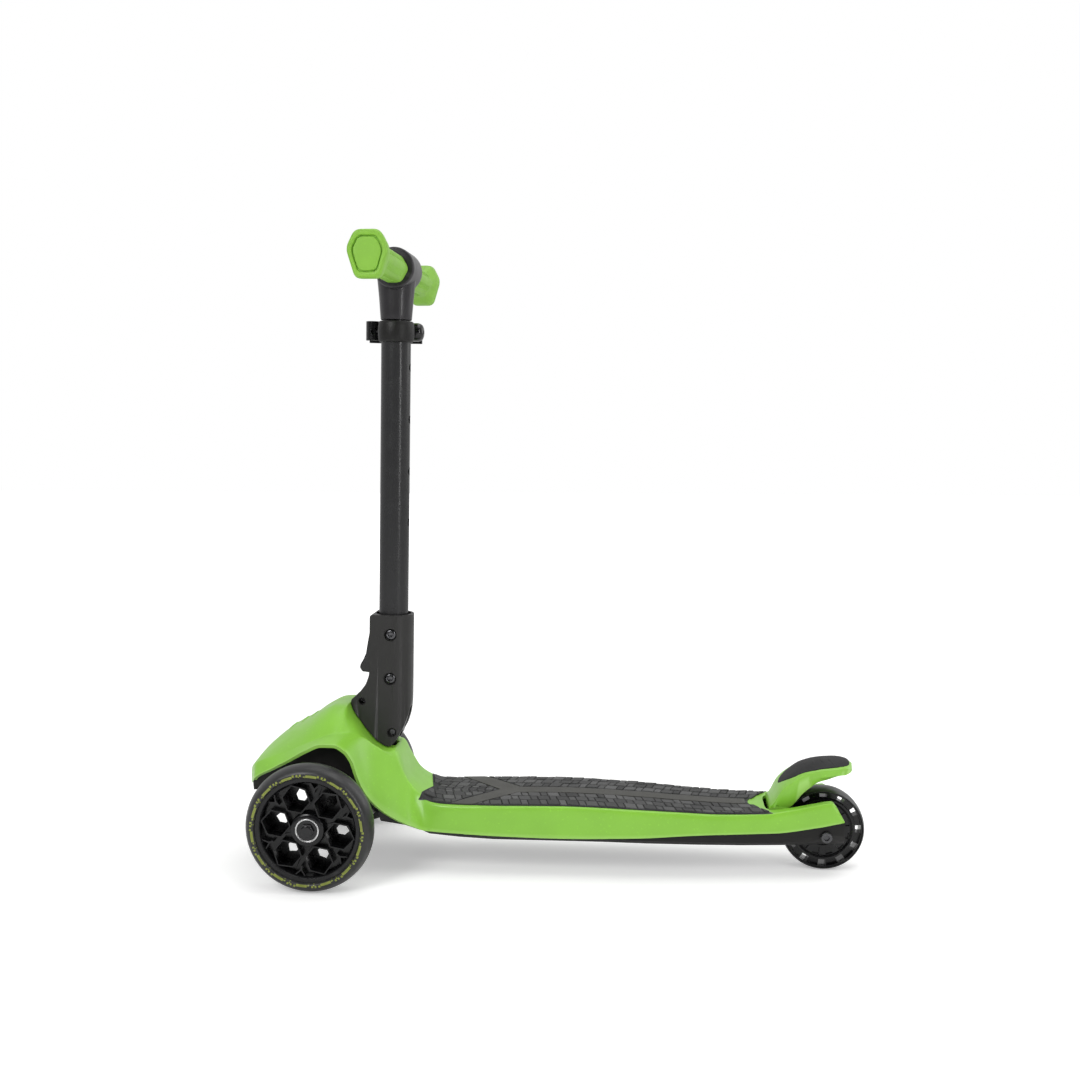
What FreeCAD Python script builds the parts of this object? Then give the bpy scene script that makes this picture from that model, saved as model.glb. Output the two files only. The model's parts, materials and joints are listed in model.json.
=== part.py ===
import FreeCAD, Part
import math
import os
import Sketcher
from FreeCAD import Placement, Rotation, Vector

# Child's kick scooter. Front at -X, left side at -Y, ground at Z = 0, millimetres.

doc = FreeCAD.newDocument("kick_scooter")

# ---------------------------------------------------------------- driving dimensions
SIZES = {
    "front_axle_x": -219.5, "front_wheel_r": 60, "half_track": 104, "front_tyre_w": 28,
    "front_core_r": 49, "rear_axle_x": 259.5, "rear_wheel_r": 40, "rear_tyre_w": 24,
    "rear_core_r": 37, "axle_r": 4, "bearing_r": 11, "bearing_w": 7, "window_r": 10.5,
    "window_ring_r": 29, "window_count": 6, "shell_t": 3, "pad_t": 3, "inlay_w": 18,
    "kingpin_x": -199.5, "kingpin_z": 62, "kingpin_tilt": 40, "steer_boss_r": 13,
    "steer_boss_len": 24, "beam_w": 18, "beam_len": 172, "fold_x": -159.6, "fold_z": 128.7,
    "fold_pin_r": 3, "fold_pin_len": 33, "front_axle_len": 237,
    "front_core_w": 22, "rear_core_w": 20, "stem_foot_x": -164.75, "stem_tilt": 1.117,
    "outer_tube_r": 14.3,
    "inner_tube_r": 11.1, "tube_bottom": 190,
    "collar_h": 20, "collar_r": 17, "height_step": 50, "first_hole": 334, "bar_x": -152,
    "bar_z": 575.2, "bar_half": 139, "bar_r": 11.1, "tee_r": 19.5, "tee_half": 23,
    "clearance": 0.05, "brake_x": 212, "brake_z": 55, "brake_pin_r": 2.5,
    "bore_r": 12.8, "outer_tube_len": 336, "inner_bore_r": 9.6, "inner_tube_len": 242,
    "inner_tube_bottom": 318,
    "bush_r": 12.78, "bush_bore_r": 11.15, "bush_len": 48, "bar_len": 271, "brake_pin_len": 56,
}
sheet = doc.addObject("Spreadsheet::Sheet", "Sizes")
for row, (name, value) in enumerate(SIZES.items(), start=1):
    sheet.set(f"A{row}", name)
    sheet.set(f"B{row}", str(value))
    sheet.setAlias(f"B{row}", name)
doc.recompute()


def size(name):
    """Read one driving dimension back from the sheet."""
    return float(sheet.get(name))


SUBPARTS = []


def keep(thing, label, placement=None):
    """Name a sub-part, place it and put it on the list of files to write."""
    thing.Label = label
    if placement is not None:
        thing.Placement = placement
    SUBPARTS.append(thing)
    return thing


def at(x=0, y=0, z=0, axis=Vector(0, 0, 1), angle=0):
    return Placement(Vector(x, y, z), Rotation(axis, angle))


Y_AXLE = Rotation(Vector(1, 0, 0), -90)      # turns a part built along Z to lie along +Y
STEM = at(size("stem_foot_x"), 0, 0, Vector(0, 1, 0), size("stem_tilt"))
KINGPIN = at(size("kingpin_x"), 0, size("kingpin_z"), Vector(0, 1, 0), -size("kingpin_tilt"))


def feature(label, shape, placement=None):
    """A piece whose shape comes from Part's own functions."""
    thing = doc.addObject("Part::Feature", label)
    thing.Shape = shape
    return keep(thing, label, placement)


def plane(body, role):
    return next(item for item in body.Origin.OriginFeatures if item.Role == role)


def sketch(body, role, name):
    made = body.newObject("Sketcher::SketchObject", name)
    made.AttachmentSupport = (plane(body, role), "")
    made.MapMode = "FlatFace"
    return made


def draw_outline(made, points):
    """Closed straight-sided outline, joined corner to corner."""
    corners = [Vector(a, b, 0) for a, b in points]
    for start, end in zip(corners, corners[1:] + corners[:1]):
        made.addGeometry(Part.LineSegment(start, end))


def draw_circle(made, radius, x=0, y=0):
    """A circle whose radius follows the sheet."""
    index = made.addGeometry(Part.Circle(Vector(x, y, 0), Vector(0, 0, 1), 1))
    row = made.addConstraint(Sketcher.Constraint("Radius", index, 1))
    made.setExpression(f"Constraints[{row}]", radius)


def pad(body, made, length, symmetric=False, kind="PartDesign::Pad"):
    """Pad or pocket a sketch by a length from the sheet."""
    step = body.newObject(kind, made.Name + "_" + kind[-3:])
    step.Profile = made
    step.setExpression("Length", length)
    if symmetric:
        step.SideType = "Symmetric"
    return step


def turned(label, points, placement):
    """A body of revolution about its own Z from (radius, height) points."""
    body = doc.addObject("PartDesign::Body", label)
    profile = sketch(body, "XZ_Plane", label + "_profile")
    draw_outline(profile, points)
    turn = body.newObject("PartDesign::Revolution", label + "_turn")
    turn.Profile = profile
    turn.ReferenceAxis = (profile, ["V_Axis"])
    turn.Angle = 360
    return keep(body, label, placement)


def hollow(label, outer, inner, length):
    """A straight tube along its own Z, all sizes as sheet expressions."""
    outside = doc.addObject("Part::Cylinder", label + "_outside")
    outside.setExpression("Radius", outer)
    outside.setExpression("Height", length)
    inside = doc.addObject("Part::Cylinder", label + "_bore")
    inside.setExpression("Radius", inner)
    inside.setExpression("Height", length)
    made = doc.addObject("Part::Cut", label)
    made.Base = outside
    made.Tool = inside
    return made


def tube(label, outer, inner, length, placement):
    return keep(hollow(label, outer, inner, length), label, placement)


def rod(label, radius, length, placement):
    made = doc.addObject("Part::Cylinder", label)
    made.setExpression("Radius", radius)
    made.setExpression("Height", length)
    return keep(made, label, placement)


def cylinder(radius, length, start, axis):
    return Part.makeCylinder(radius, length, Vector(*start), Vector(*axis))


def block(low, high):
    spans = [b - a for a, b in zip(low, high)]
    return Part.makeBox(*spans, Vector(*low))


def hexagon(across, length, start, axis):
    """A hexagon bar, for bolt heads and nuts."""
    ring = [Vector(across / math.sqrt(3) * math.cos(k * math.pi / 3),
                   across / math.sqrt(3) * math.sin(k * math.pi / 3), 0) for k in range(7)]
    bar = Part.Face(Part.makePolygon(ring)).extrude(Vector(0, 0, length))
    bar.Placement = Placement(Vector(*start), Rotation(Vector(0, 0, 1), Vector(*axis)))
    return bar


def slab(points, low_y, high_y):
    """An outline of (x, z) points given thickness along Y."""
    ring = [Vector(x, low_y, z) for x, z in points]
    return Part.Face(Part.makePolygon(ring + ring[:1])).extrude(Vector(0, high_y - low_y, 0))


# ---------------------------------------------------------------- guide curves of the deck
# Each guide is a list of hand-set knots along the scooter; values between knots follow a
# smooth monotone cubic. RIDGE is the height on the centre line, FLAT the half-width of the
# level band there, CREASE and EDGE the half-width and height of the two side lines.
RIDGE = [(-299.5, 88), (-296.5, 96), (-290, 105), (-282, 114), (-262, 129.5), (-242, 140.5),
         (-227, 150.5), (-214, 156), (-203, 156.5), (-198, 147.4), (-191, 138.4), (-182.5, 127.6),
         (-174, 119), (-162, 113.6), (-156.5, 113.6), (-152, 109), (-149.8, 103.5),
         (-146.3, 94.5), (-142.4, 86.4), (-135.4, 79.5), (-126, 72.5), (-115, 68),
         (-100, 67.2), (-57, 67.8), (10, 68.8), (83, 66.4), (121, 64.2), (182, 62),
         (205, 62.5), (224, 65.5), (250, 71), (264, 73.4), (276, 55.9)]
FLAT = [(-299.5, 4), (-262, 8), (-230, 14), (-208, 21), (-155, 21), (-140, 15), (-115, 25),
        (-57, 30), (182, 28), (205, 20), (276, 20)]
CREASE_Y = [(-299.5, 9), (-296.5, 30), (-290, 49), (-282, 60), (-262, 63), (-240, 62),
            (-222, 58), (-208, 53), (-196, 47), (-184, 41), (-172, 36), (-160, 32), (-150, 29),
            (-140, 31), (-128, 38), (-115, 46), (-100, 49.5), (-57, 52.3), (10, 51.3),
            (83, 50.2), (121, 46.8), (159, 43.5), (200, 38), (224, 36), (264, 34.5), (276, 34)]
CREASE_Z = [(-299.5, 86), (-296.5, 92), (-290, 101), (-282, 107.5), (-262, 115.5),
            (-240, 125), (-222, 131.5), (-208, 135), (-196, 134), (-184, 130), (-172, 120),
            (-160, 111), (-150, 100), (-140, 83), (-128, 72.5), (-115, 67), (-100, 66.3),
            (-57, 67), (10, 68), (83, 65.5), (121, 63.5), (159, 61.5), (200, 62),
            (224, 65.5), (250, 71), (264, 73.4), (276, 55.9)]
EDGE_Y = [(-299.5, 10), (-296.5, 31), (-290, 50), (-282, 68), (-262, 74), (-246, 76),
          (-192, 76), (-182, 74), (-170, 66), (-159, 61), (-145, 57), (-134, 53.5),
          (-121, 51), (-100, 51.5), (-57, 53), (10, 52), (83, 51), (121, 48), (159, 45),
          (200, 39.5), (224, 37), (276, 35)]
EDGE_Z = [(-299.5, 77), (-290, 85), (-281, 95.5), (-262, 106.5), (-246, 115.5), (-231, 124),
          (-216, 130), (-204, 130), (-192.5, 124), (-186, 114.3), (-182, 101),
          (-177.5, 87.5), (-170.5, 74.5), (-159.5, 62), (-145.5, 52.5), (-134, 46.5),
          (-121.5, 41.5), (-70, 39.3), (8, 37.8), (74, 39.4), (159, 43.4), (210, 44),
          (250, 49.5), (276, 55)]
CROWN = 1.8        # how full the surface stands between the level band and the crease


def along(guide, x):
    """Monotone cubic value of a guide at x."""
    if x <= guide[0][0]:
        return guide[0][1]
    if x >= guide[-1][0]:
        return guide[-1][1]
    slopes = [(b[1] - a[1]) / (b[0] - a[0]) for a, b in zip(guide, guide[1:])]

    def tangent(k):
        if k in (0, len(guide) - 1):
            return slopes[min(k, len(slopes) - 1)]
        before, after = slopes[k - 1], slopes[k]
        return 0 if before * after <= 0 else 2 * before * after / (before + after)

    k = max(i for i in range(len(slopes)) if guide[i][0] <= x)
    span = guide[k + 1][0] - guide[k][0]
    u = (x - guide[k][0]) / span
    rise = (1 + 2 * u) * (1 - u) ** 2 * guide[k][1] + u * u * (3 - 2 * u) * guide[k + 1][1]
    return rise + u * (1 - u) * span * ((1 - u) * tangent(k) - u * tangent(k + 1))


def half_section(x, inset=0):
    """Half of the shell's outline across the scooter at x, moved in by the inset."""
    ridge = along(RIDGE, x) - inset
    crease_y, crease_z = along(CREASE_Y, x) - 0.7 * inset, along(CREASE_Z, x) - inset
    edge_y, edge_z = along(EDGE_Y, x) - inset, along(EDGE_Z, x)
    flat = min(along(FLAT, x), 0.8 * crease_y)
    points = [(0, ridge), (flat, ridge)]
    for u in (0.35, 0.7, 1.0):
        points.append((flat + u * (crease_y - flat),
                       crease_z + (ridge - crease_z) * (1 - u ** CROWN)))
    points.append(((crease_y + edge_y) / 2 + 0.4, (crease_z + edge_z) / 2))
    points.append((edge_y, edge_z - (4 if inset else 0)))
    return points


def loft(stations, inset=0):
    """A closed solid through the sections at the stations."""
    rings = []
    for x in stations:
        half = half_section(x, inset)
        ring = [Vector(x, y, z) for y, z in half] + [Vector(x, -y, z) for y, z in half[:0:-1]]
        rings.append(Part.makePolygon(ring + ring[:1]))
    return Part.makeLoft(rings, True, True)


def spread(start, end, count):
    return [start + (end - start) * k / count for k in range(count + 1)]


# ---------------------------------------------------------------- chassis
front_x, rear_x = size("front_axle_x"), size("rear_axle_x")
rear_r = size("rear_wheel_r")
fold_x, fold_z = size("fold_x"), size("fold_z")
wall = size("shell_t")

STATIONS = [-299.5, -298, -296.5, -293.5, -290, -286, -282, -276, -269, -262, -254, -246, -238,
            -230, -222, -214, -208, -203, -198, -194.5, -191, -188.5, -186, -184, -182, -180,
            -177.5, -174, -170.5, -166, -162, -159, -156.5, -154, -152, -149.8, -146.3, -142.4,
            -138.5, -135.4, -130.5, -126, -120.5, -115, -107, -100, -78, -57, -24, 10, 46, 83,
            121, 159, 182, 205, 224, 237, 250, 258, 264, 270, 276]


def deck_surface(x, y):
    """Height of the shell's top at a point of the deck."""
    half = half_section(x)
    for (y0, z0), (y1, z1) in zip(half, half[1:]):
        if y0 <= abs(y) <= y1:
            return z0 + (z1 - z0) * (abs(y) - y0) / max(y1 - y0, 1e-6)
    return half[-1][1]


PAD_SIDE = [(-130, 40), (-110, 44.5), (-88, 47), (-57, 49), (10, 48.3), (83, 46.5),
            (121, 43.5), (159, 40.5), (209, 36)]
PAD_NOTCH = (-121.8, 0)
PAD_TAIL = (187.5, 0)
PAD_RISE = 1.0


def plan(points, low_z, high_z):
    """A plan outline given as its +Y half, mirrored and given height."""
    ring = points + [(x, -y) for x, y in reversed(points) if y > 0]
    wire = Part.makePolygon([Vector(x, y, low_z) for x, y in ring + ring[:1]])
    return Part.Face(wire).extrude(Vector(0, 0, high_z - low_z))


def deck_layer(outline, low, high):
    """A layer that follows the deck's top between two offsets, inside a plan outline."""
    rings = []
    for x in [-133, -126, -120.5, -115, -107, -100, -78, -57, -24, 10, 46, 83, 121, 159, 182, 212]:
        top = [(y, deck_surface(x, y)) for y in (50, 40, 30, 15, -15, -30, -40, -50)]
        ring = [Vector(x, y, z + high) for y, z in top]
        ring += [Vector(x, y, z + low) for y, z in reversed(top)]
        rings.append(Part.makePolygon(ring + ring[:1]))
    return Part.makeLoft(rings, True, True).common(outline)


pad_outline = plan([PAD_NOTCH] + PAD_SIDE + [(196, 17.7), PAD_TAIL], 40, 110)
inlay_w = size("inlay_w") / 2
inlay_outline = plan([(-55, 0), (-98, 46), (-76, 49.5), (-36, inlay_w), (186, inlay_w - 1),
                      (187, 0)], 40, 110).common(pad_outline)
pad_layer = deck_layer(pad_outline, PAD_RISE - size("pad_t"), PAD_RISE)
inlay_layer = deck_layer(inlay_outline, PAD_RISE - 1.5, PAD_RISE)


def make_deck_shell():
    """Green moulding: nose, neck, deck skin, side bands and the two rear arms."""
    shell = loft(STATIONS).cut(loft([x for x in STATIONS if x >= -290], wall))
    wheel_well = block((222, -27, 0), (290, 27, 100))
    brake_slot = block((203, -26, 40), (222.1, 26, 80))
    hinge_well = cylinder(14.2, 46, (fold_x, -23, fold_z), (0, 1, 0))
    bracket_hole = block((-196, -9, 100), (-155, 9, 150))
    return shell.cut([wheel_well, brake_slot, hinge_well, bracket_hole, pad_layer])


feature("deck_shell", make_deck_shell())
feature("deck_pad", pad_layer.cut(inlay_layer))
feature("deck_inlay", inlay_layer)


# under-tray: a channel that fits inside the green skin, with the rear fork arms
TRAY_BOTTOM = [(-164, 51), (-154, 48.4), (-140, 44.9), (-130, 41.2), (-119, 36), (-57, 32.8),
               (46, 32.6), (140, 30.7), (215, 29.5), (277, 32)]
TRAY_GAP = 0.4


def tray_half_width(x):
    return along(EDGE_Y, x) - wall - TRAY_GAP


def tray_top(x):
    return min(along(EDGE_Z, x) + 8, deck_surface(x, 30) - wall - TRAY_GAP)


def tray_section(x, inset=0):
    wide, low = tray_half_width(x) - inset, along(TRAY_BOTTOM, x) + inset
    return [(wide - 6, low), (wide - 1, low + 4), (wide, low + 9), (wide, tray_top(x) + inset),
            (-wide, tray_top(x) + inset), (-wide, low + 9), (-wide + 1, low + 4),
            (-wide + 6, low)]


def tray_loft(stations, inset=0):
    rings = []
    for x in stations:
        ring = [Vector(x, y, z) for y, z in tray_section(x, inset)]
        rings.append(Part.makePolygon(ring + ring[:1]))
    return Part.makeLoft(rings, True, True)


SCREW_PLACES = [(x, y) for x in (-105, -25, 60, 150) for y in (-27, 27)]


def make_tray():
    stations = [-164, -154, -140, -130, -119, -90, -57, 0, 46, 90, 140, 180, 215, 245, 277]
    skin_room = loft(STATIONS).cut(loft([x for x in STATIONS if x >= -290], wall + 0.3))
    outside = tray_loft(stations).cut(skin_room)
    hollow = tray_loft([x for x in stations if -140 <= x <= 180], 3)
    wheel_well = block((218, -20, 0), (300, 20, 100))
    brake_pocket = block((203, -22.5, 44), (224, 22.5, 90))
    holes = [cylinder(size("axle_r") + 0.02, 90, (rear_x, -45, rear_r), (0, 1, 0)),
             cylinder(size("brake_pin_r") + 0.02, 60, (size("brake_x"), -30, size("brake_z")),
                      (0, 1, 0))]
    for side in (-1, 1):
        holes.append(cylinder(6.5, 5, (rear_x, side * 32, rear_r), (0, side, 0)))
    for x, y in SCREW_PLACES:
        low = along(TRAY_BOTTOM, x)
        holes.append(cylinder(1.75, 12, (x, y, low - 4), (0, 0, 1)))
        holes.append(cylinder(3.7, 6, (x, y, low - 4.5), (0, 0, 1)))
    tray = outside.cut([hollow, wheel_well, brake_pocket] + holes)
    return max(tray.Solids, key=lambda solid: solid.Volume)


feature("deck_tray", make_tray())


def screw(x, y, z, head_r=3.5, head_h=1.6, shank_r=1.7, length=9, axis=(0, 0, 1)):
    """Pan-head screw, head first, pointing along its axis."""
    head = cylinder(head_r, head_h, (x, y, z), axis)
    slot = hexagon(2.6, 1.0, (x, y, z), axis)
    return head.cut(slot).fuse(cylinder(shank_r, length, (x, y, z), axis))


feature("deck_screws", Part.makeCompound(
    [screw(x, y, along(TRAY_BOTTOM, x) - 0.2) for x, y in SCREW_PLACES]))

# nose liner: black skin inside the hood, seen under the wheel arches and nose
LINER_SIDE = [(-292, 87), (-287, 81), (-270, 83), (-184, 84), (-177, 58), (-165, 52),
              (-165, 120), (-200, 170), (-292, 170)]


def make_liner():
    stations = [x for x in STATIONS if -290 <= x <= -159]
    skin = loft(stations, wall + 0.4).common(slab(LINER_SIDE, -62, 62))
    core = loft([x for x in stations if -286 <= x], wall + 3.4)
    reach = slab([(-288, 70), (-168, 40), (-168, 170), (-288, 170)], -59, 59)
    deep = block((-300, -76, 60), (-150, 76, 96)).common(slab(LINER_SIDE, -62, 62))
    side_walls = deep.cut(block((-300, -59, 0), (-100, 59, 200)))
    nose_floor = deep.common(block((-292, -59, 80), (-262, 59, 86)))
    rear_wall = slab([(-184, 84), (-177, 58), (-165, 52), (-165, 60), (-172, 64), (-178, 84)],
                     -55, 55)
    inside_hood = loft(stations, wall + 0.4)
    skin = skin.cut(core.common(reach)).fuse(side_walls.common(inside_hood))
    skin = skin.fuse([nose_floor.common(inside_hood), rear_wall.common(inside_hood)])
    hinge_room = cylinder(15, 46, (fold_x, -23, fold_z), (0, 1, 0))
    return skin.cut([hinge_room, block((-202, -32, 94), (-150, 32, 150))]).removeSplitter()


feature("nose_liner", make_liner())

# fold bracket: steel plate with the tongue that carries the hinge and the latch tooth
BLADE_R, TOOTH_R, HEAD_R, BLADE_HALF = 21, 25.5, 8.5, 5


def polar(radius, degrees):
    angle = math.radians(degrees)
    return (fold_x + radius * math.cos(angle), fold_z + radius * math.sin(angle))


def make_fold_bracket():
    blade = slab([polar(8, 60), polar(BLADE_R, 78.5), polar(TOOTH_R, 79), polar(TOOTH_R, 83.6),
                  polar(BLADE_R, 84), polar(BLADE_R, 100), polar(8, 130)],
                 -BLADE_HALF, BLADE_HALF)
    head = cylinder(HEAD_R, 2 * BLADE_HALF, (fold_x, -BLADE_HALF, fold_z), (0, 1, 0))
    root = slab([polar(8, 170), (-180, 104), (-163, 104), polar(8, 300)],
                -BLADE_HALF, BLADE_HALF)
    plate = block((-192, -28, 100), (-162, 28, 104.3))
    hole = cylinder(size("fold_pin_r") + 0.01, 20, (fold_x, -10, fold_z), (0, 1, 0))
    return blade.fuse([head, root, plate]).cut(hole)


feature("fold_bracket", make_fold_bracket())
rod("fold_pin", "Sizes.fold_pin_r", "Sizes.fold_pin_len",
    Placement(Vector(fold_x, -size("fold_pin_len") / 2, fold_z), Y_AXLE))

# steering bracket: upper plate with the boss that holds the kingpin
CUSHION_R = 10.5
KING_AXIS = KINGPIN.Rotation.multVec(Vector(0, 0, 1))


def along_kingpin(distance):
    return tuple(KINGPIN.Base + KING_AXIS * distance)


def make_steering_bracket():
    axis = tuple(KING_AXIS)
    boss = cylinder(CUSHION_R, 15, along_kingpin(21.3), axis)
    plate = block((-232, -26, 95.8), (-162, 26, 99.7))
    web = slab([(-226, 97), (-199, 97), (-199, 88), (-208, 82), (-216, 84)], -9, 9)
    nut_room = cylinder(10, 30, along_kingpin(36.3), axis)
    bore = cylinder(size("axle_r") + 0.02, 60, along_kingpin(0), axis)
    low_room = cylinder(30, 21.3, along_kingpin(0), axis)
    return boss.fuse([plate, web]).cut([nut_room, bore, low_room])


feature("steering_bracket", make_steering_bracket())
half_boss = size("steer_boss_len") / 2
feature("steering_cushion_upper", cylinder(CUSHION_R, 8.7, (0, 0, half_boss + 0.3), (0, 0, 1)).cut(
    cylinder(size("axle_r") + 0.02, 20, (0, 0, 10), (0, 0, 1))), KINGPIN)
feature("steering_cushion_lower", cylinder(CUSHION_R, 8.4, (0, 0, -21), (0, 0, 1)).cut(
    cylinder(size("axle_r") + 0.02, 20, (0, 0, -25), (0, 0, 1))), KINGPIN)
feature("kingpin", hexagon(12, 5, (0, 0, -26.3), (0, 0, 1)).fuse(
    cylinder(size("axle_r"), 66, (0, 0, -23), (0, 0, 1))), KINGPIN)
feature("kingpin_nut", hexagon(12, 6, (0, 0, 36.6), (0, 0, 1)).cut(
    cylinder(size("axle_r") + 0.01, 20, (0, 0, 30), (0, 0, 1))), KINGPIN)

# ---------------------------------------------------------------- truck
front_r = size("front_wheel_r")
track = size("half_track")
beam_half = size("beam_len") / 2


def make_beam():
    """Cross beam with axle spigots and the inclined steering boss behind it."""
    side = size("beam_w") / 2
    beam = block((front_x - side, -beam_half, front_r - side),
                 (front_x + side, beam_half, front_r + side))
    spigot = cylinder(7, 2 * (track - 11.4), (front_x, -track + 11.4, front_r), (0, 1, 0))
    boss = cylinder(size("steer_boss_r"), 2 * half_boss, along_kingpin(-half_boss),
                    tuple(KING_AXIS))
    arms = slab([(front_x, 51), (front_x, 69), (-200, 72), (-192, 62), (-200, 52)], -12, 12)
    cushion_room = [cylinder(CUSHION_R + 0.7, 30, along_kingpin(half_boss), tuple(KING_AXIS)),
                    cylinder(13.5, 30, along_kingpin(-half_boss - 30), tuple(KING_AXIS))]
    kingpin_bore = cylinder(size("axle_r") + size("clearance"), 60, along_kingpin(-30),
                            tuple(KING_AXIS))
    axle_bore = cylinder(size("axle_r") + 0.01, 2 * track, (front_x, -track, front_r), (0, 1, 0))
    solid = beam.fuse([spigot, arms]).cut(cushion_room).fuse(boss)
    return solid.cut([kingpin_bore, axle_bore]).removeSplitter()


feature("axle_beam", make_beam())
rod("front_axle", "Sizes.axle_r", "Sizes.front_axle_len",
    Placement(Vector(front_x, -size("front_axle_len") / 2, front_r), Y_AXLE))
feature("front_axle_nuts", Part.makeCompound([
    hexagon(12.5, 3.3, (front_x, side * (track + 11.8), front_r), (0, side, 0)).cut(
        cylinder(size("axle_r") + 0.01, 10, (front_x, side * (track + 10), front_r),
                 (0, side, 0))) for side in (-1, 1)]))

# ---------------------------------------------------------------- wheels


def wheel_core(label, outer, half_width, place):
    """Core turned about Z, with its ring of windows pocketed through."""
    body = doc.addObject("PartDesign::Body", label)
    disc = sketch(body, "XY_Plane", label + "_disc")
    draw_circle(disc, outer)
    draw_circle(disc, "Sizes.bearing_r")
    pad(body, disc, half_width, symmetric=True)
    return keep(body, label, place)


def cut_windows(body, points, count):
    """Pocket one window right through and repeat it round the hub."""
    doc.recompute()
    opening = sketch(body, "XY_Plane", body.Label + "_window")
    draw_outline(opening, points)
    pocket = body.newObject("PartDesign::Pocket", body.Label + "_pocket")
    pocket.Profile = opening
    pocket.SideType = "Symmetric"
    pocket.Length = 60
    ring = body.newObject("PartDesign::PolarPattern", body.Label + "_ring")
    ring.Originals = [pocket]
    ring.Axis = (opening, ["N_Axis"])
    ring.Angle = 360
    ring.Occurrences = count
    body.Tip = ring


def tyre_profile(inner, outer, half):
    """Half-round tread with short side walls."""
    right = [(inner, half * 0.8), (inner + 1.2, half * 0.97)]
    rise = outer - inner
    for u in (0.15, 0.4, 0.65, 0.85, 1.0):
        angle = math.radians(90 * u)
        right.append((outer - rise * 0.65 * (1 - math.sin(angle)),
                      half * (0.12 + 0.88 * math.cos(angle))))
    return right + [(r, -y) for r, y in reversed(right)]


def bearing_pair(label, centre_x, centre_y, centre_z, offset):
    """Two sealed ball bearings on the same axle."""
    rings = []
    for low in (-offset - size("bearing_w"), offset):
        ring = cylinder(size("bearing_r") - 0.01, size("bearing_w"),
                        (centre_x, centre_y + low, centre_z), (0, 1, 0))
        rings.append(ring.cut(cylinder(size("axle_r") + size("clearance"), 80,
                                       (centre_x, centre_y - 40, centre_z), (0, 1, 0))))
    return feature(label, Part.makeCompound(rings))


def spacer(label, centre_x, centre_y, centre_z, offset):
    outside = cylinder(6, 2 * offset - 0.2, (centre_x, centre_y - offset + 0.1, centre_z),
                       (0, 1, 0))
    inside = cylinder(size("axle_r") + size("clearance"), 80,
                      (centre_x, centre_y - 40, centre_z), (0, 1, 0))
    return feature(label, outside.cut(inside))


window_r, window_ring = size("window_r"), size("window_ring_r")
WINDOW_TURN = math.radians(10)      # how far the first window stands from the X axis
WINDOW_REACH = 1.15                 # the outer corner is drawn out towards the rim


def turned_about(point, angle):
    x, y = point
    return (x * math.cos(angle) - y * math.sin(angle), x * math.sin(angle) + y * math.cos(angle))


hex_window = [(window_ring + window_r * math.cos(math.radians(60 * k))
               * (WINDOW_REACH if k == 0 else 1),
               window_r * math.sin(math.radians(60 * k))) for k in range(6)]
hex_window = [turned_about(point, WINDOW_TURN) for point in hex_window]
for side, name in ((-1, "left"), (1, "right")):
    place = Placement(Vector(front_x, side * track, front_r), Y_AXLE)
    core = wheel_core(f"front_core_{name}", "Sizes.front_core_r", "Sizes.front_core_w", place)
    cut_windows(core, hex_window, int(size("window_count")))
    turned(f"front_tyre_{name}", tyre_profile(size("front_core_r") + 0.02, front_r,
                                              size("front_tyre_w") / 2), place)
    bearing_pair(f"front_bearings_{name}", front_x, side * track, front_r, 4)
    spacer(f"front_spacer_{name}", front_x, side * track, front_r, 4)

rear_place = Placement(Vector(rear_x, 0, rear_r), Y_AXLE)
rear_core = wheel_core("rear_core", "Sizes.rear_core_r", "Sizes.rear_core_w", rear_place)
cut_windows(rear_core, [(31, -2.6), (35.6, -3), (35.6, 3), (31, 2.6)], 12)
turned("rear_tyre", tyre_profile(size("rear_core_r") + 0.02, rear_r,
                                 size("rear_tyre_w") / 2), rear_place)
bearing_pair("rear_bearings", rear_x, 0, rear_r, 3)
spacer("rear_spacer", rear_x, 0, rear_r, 3)
feature("rear_axle", hexagon(9, 4.2, (rear_x, -36.3, rear_r), (0, 1, 0)).fuse(
    cylinder(size("axle_r"), 66, (rear_x, -34, rear_r), (0, 1, 0))))
feature("rear_axle_nut", hexagon(11, 3.6, (rear_x, 32.3, rear_r), (0, 1, 0)).cut(
    cylinder(size("axle_r") + 0.01, 20, (rear_x, 25, rear_r), (0, 1, 0))))
feature("rear_washers", Part.makeCompound([
    cylinder(6, 9.2, (rear_x, side * 10.4, rear_r), (0, side, 0)).cut(
        cylinder(size("axle_r") + 0.02, 40, (rear_x, side * 5, rear_r), (0, side, 0)))
    for side in (-1, 1)]))

# ---------------------------------------------------------------- foot brake
brake_x, brake_z = size("brake_x"), size("brake_z")
FENDER_TOP = [(208, 66), (212.2, 74.3), (215.2, 80.8), (219.3, 86.3), (227.5, 93), (239.8, 100.8),
              (254.2, 104.9), (264.5, 106.2), (274.8, 106.9), (282, 106.3), (286, 104)]
FENDER_UNDER = [(286, 98.4), (271.9, 94.4), (261.8, 91), (251.7, 87.6), (246.7, 83.8),
                (237.7, 76.1), (231.7, 68.5), (225.5, 62.5), (216, 58)]
FENDER_PLAN = [(200, 25), (225, 25.5), (262, 25), (279, 22.5), (284.5, 18), (286.5, 10),
               (286.5, 0)]
BRAKE_PAD_PLAN = [(216, 0), (217.5, 9), (222, 17), (232, 20.5), (262, 20.5), (276, 18.5),
                  (281, 13), (282.5, 0)]
BRAKE_GAP_R = 45.5
BRAKE_PAD_T = 1.8


def brake_pad_layer():
    top = FENDER_TOP[2:] + [(286, 104)]
    lowered = [(x, z - BRAKE_PAD_T) for x, z in reversed(top)]
    return slab(top + lowered, -24, 24).common(plan(BRAKE_PAD_PLAN, 70, 120))


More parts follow.
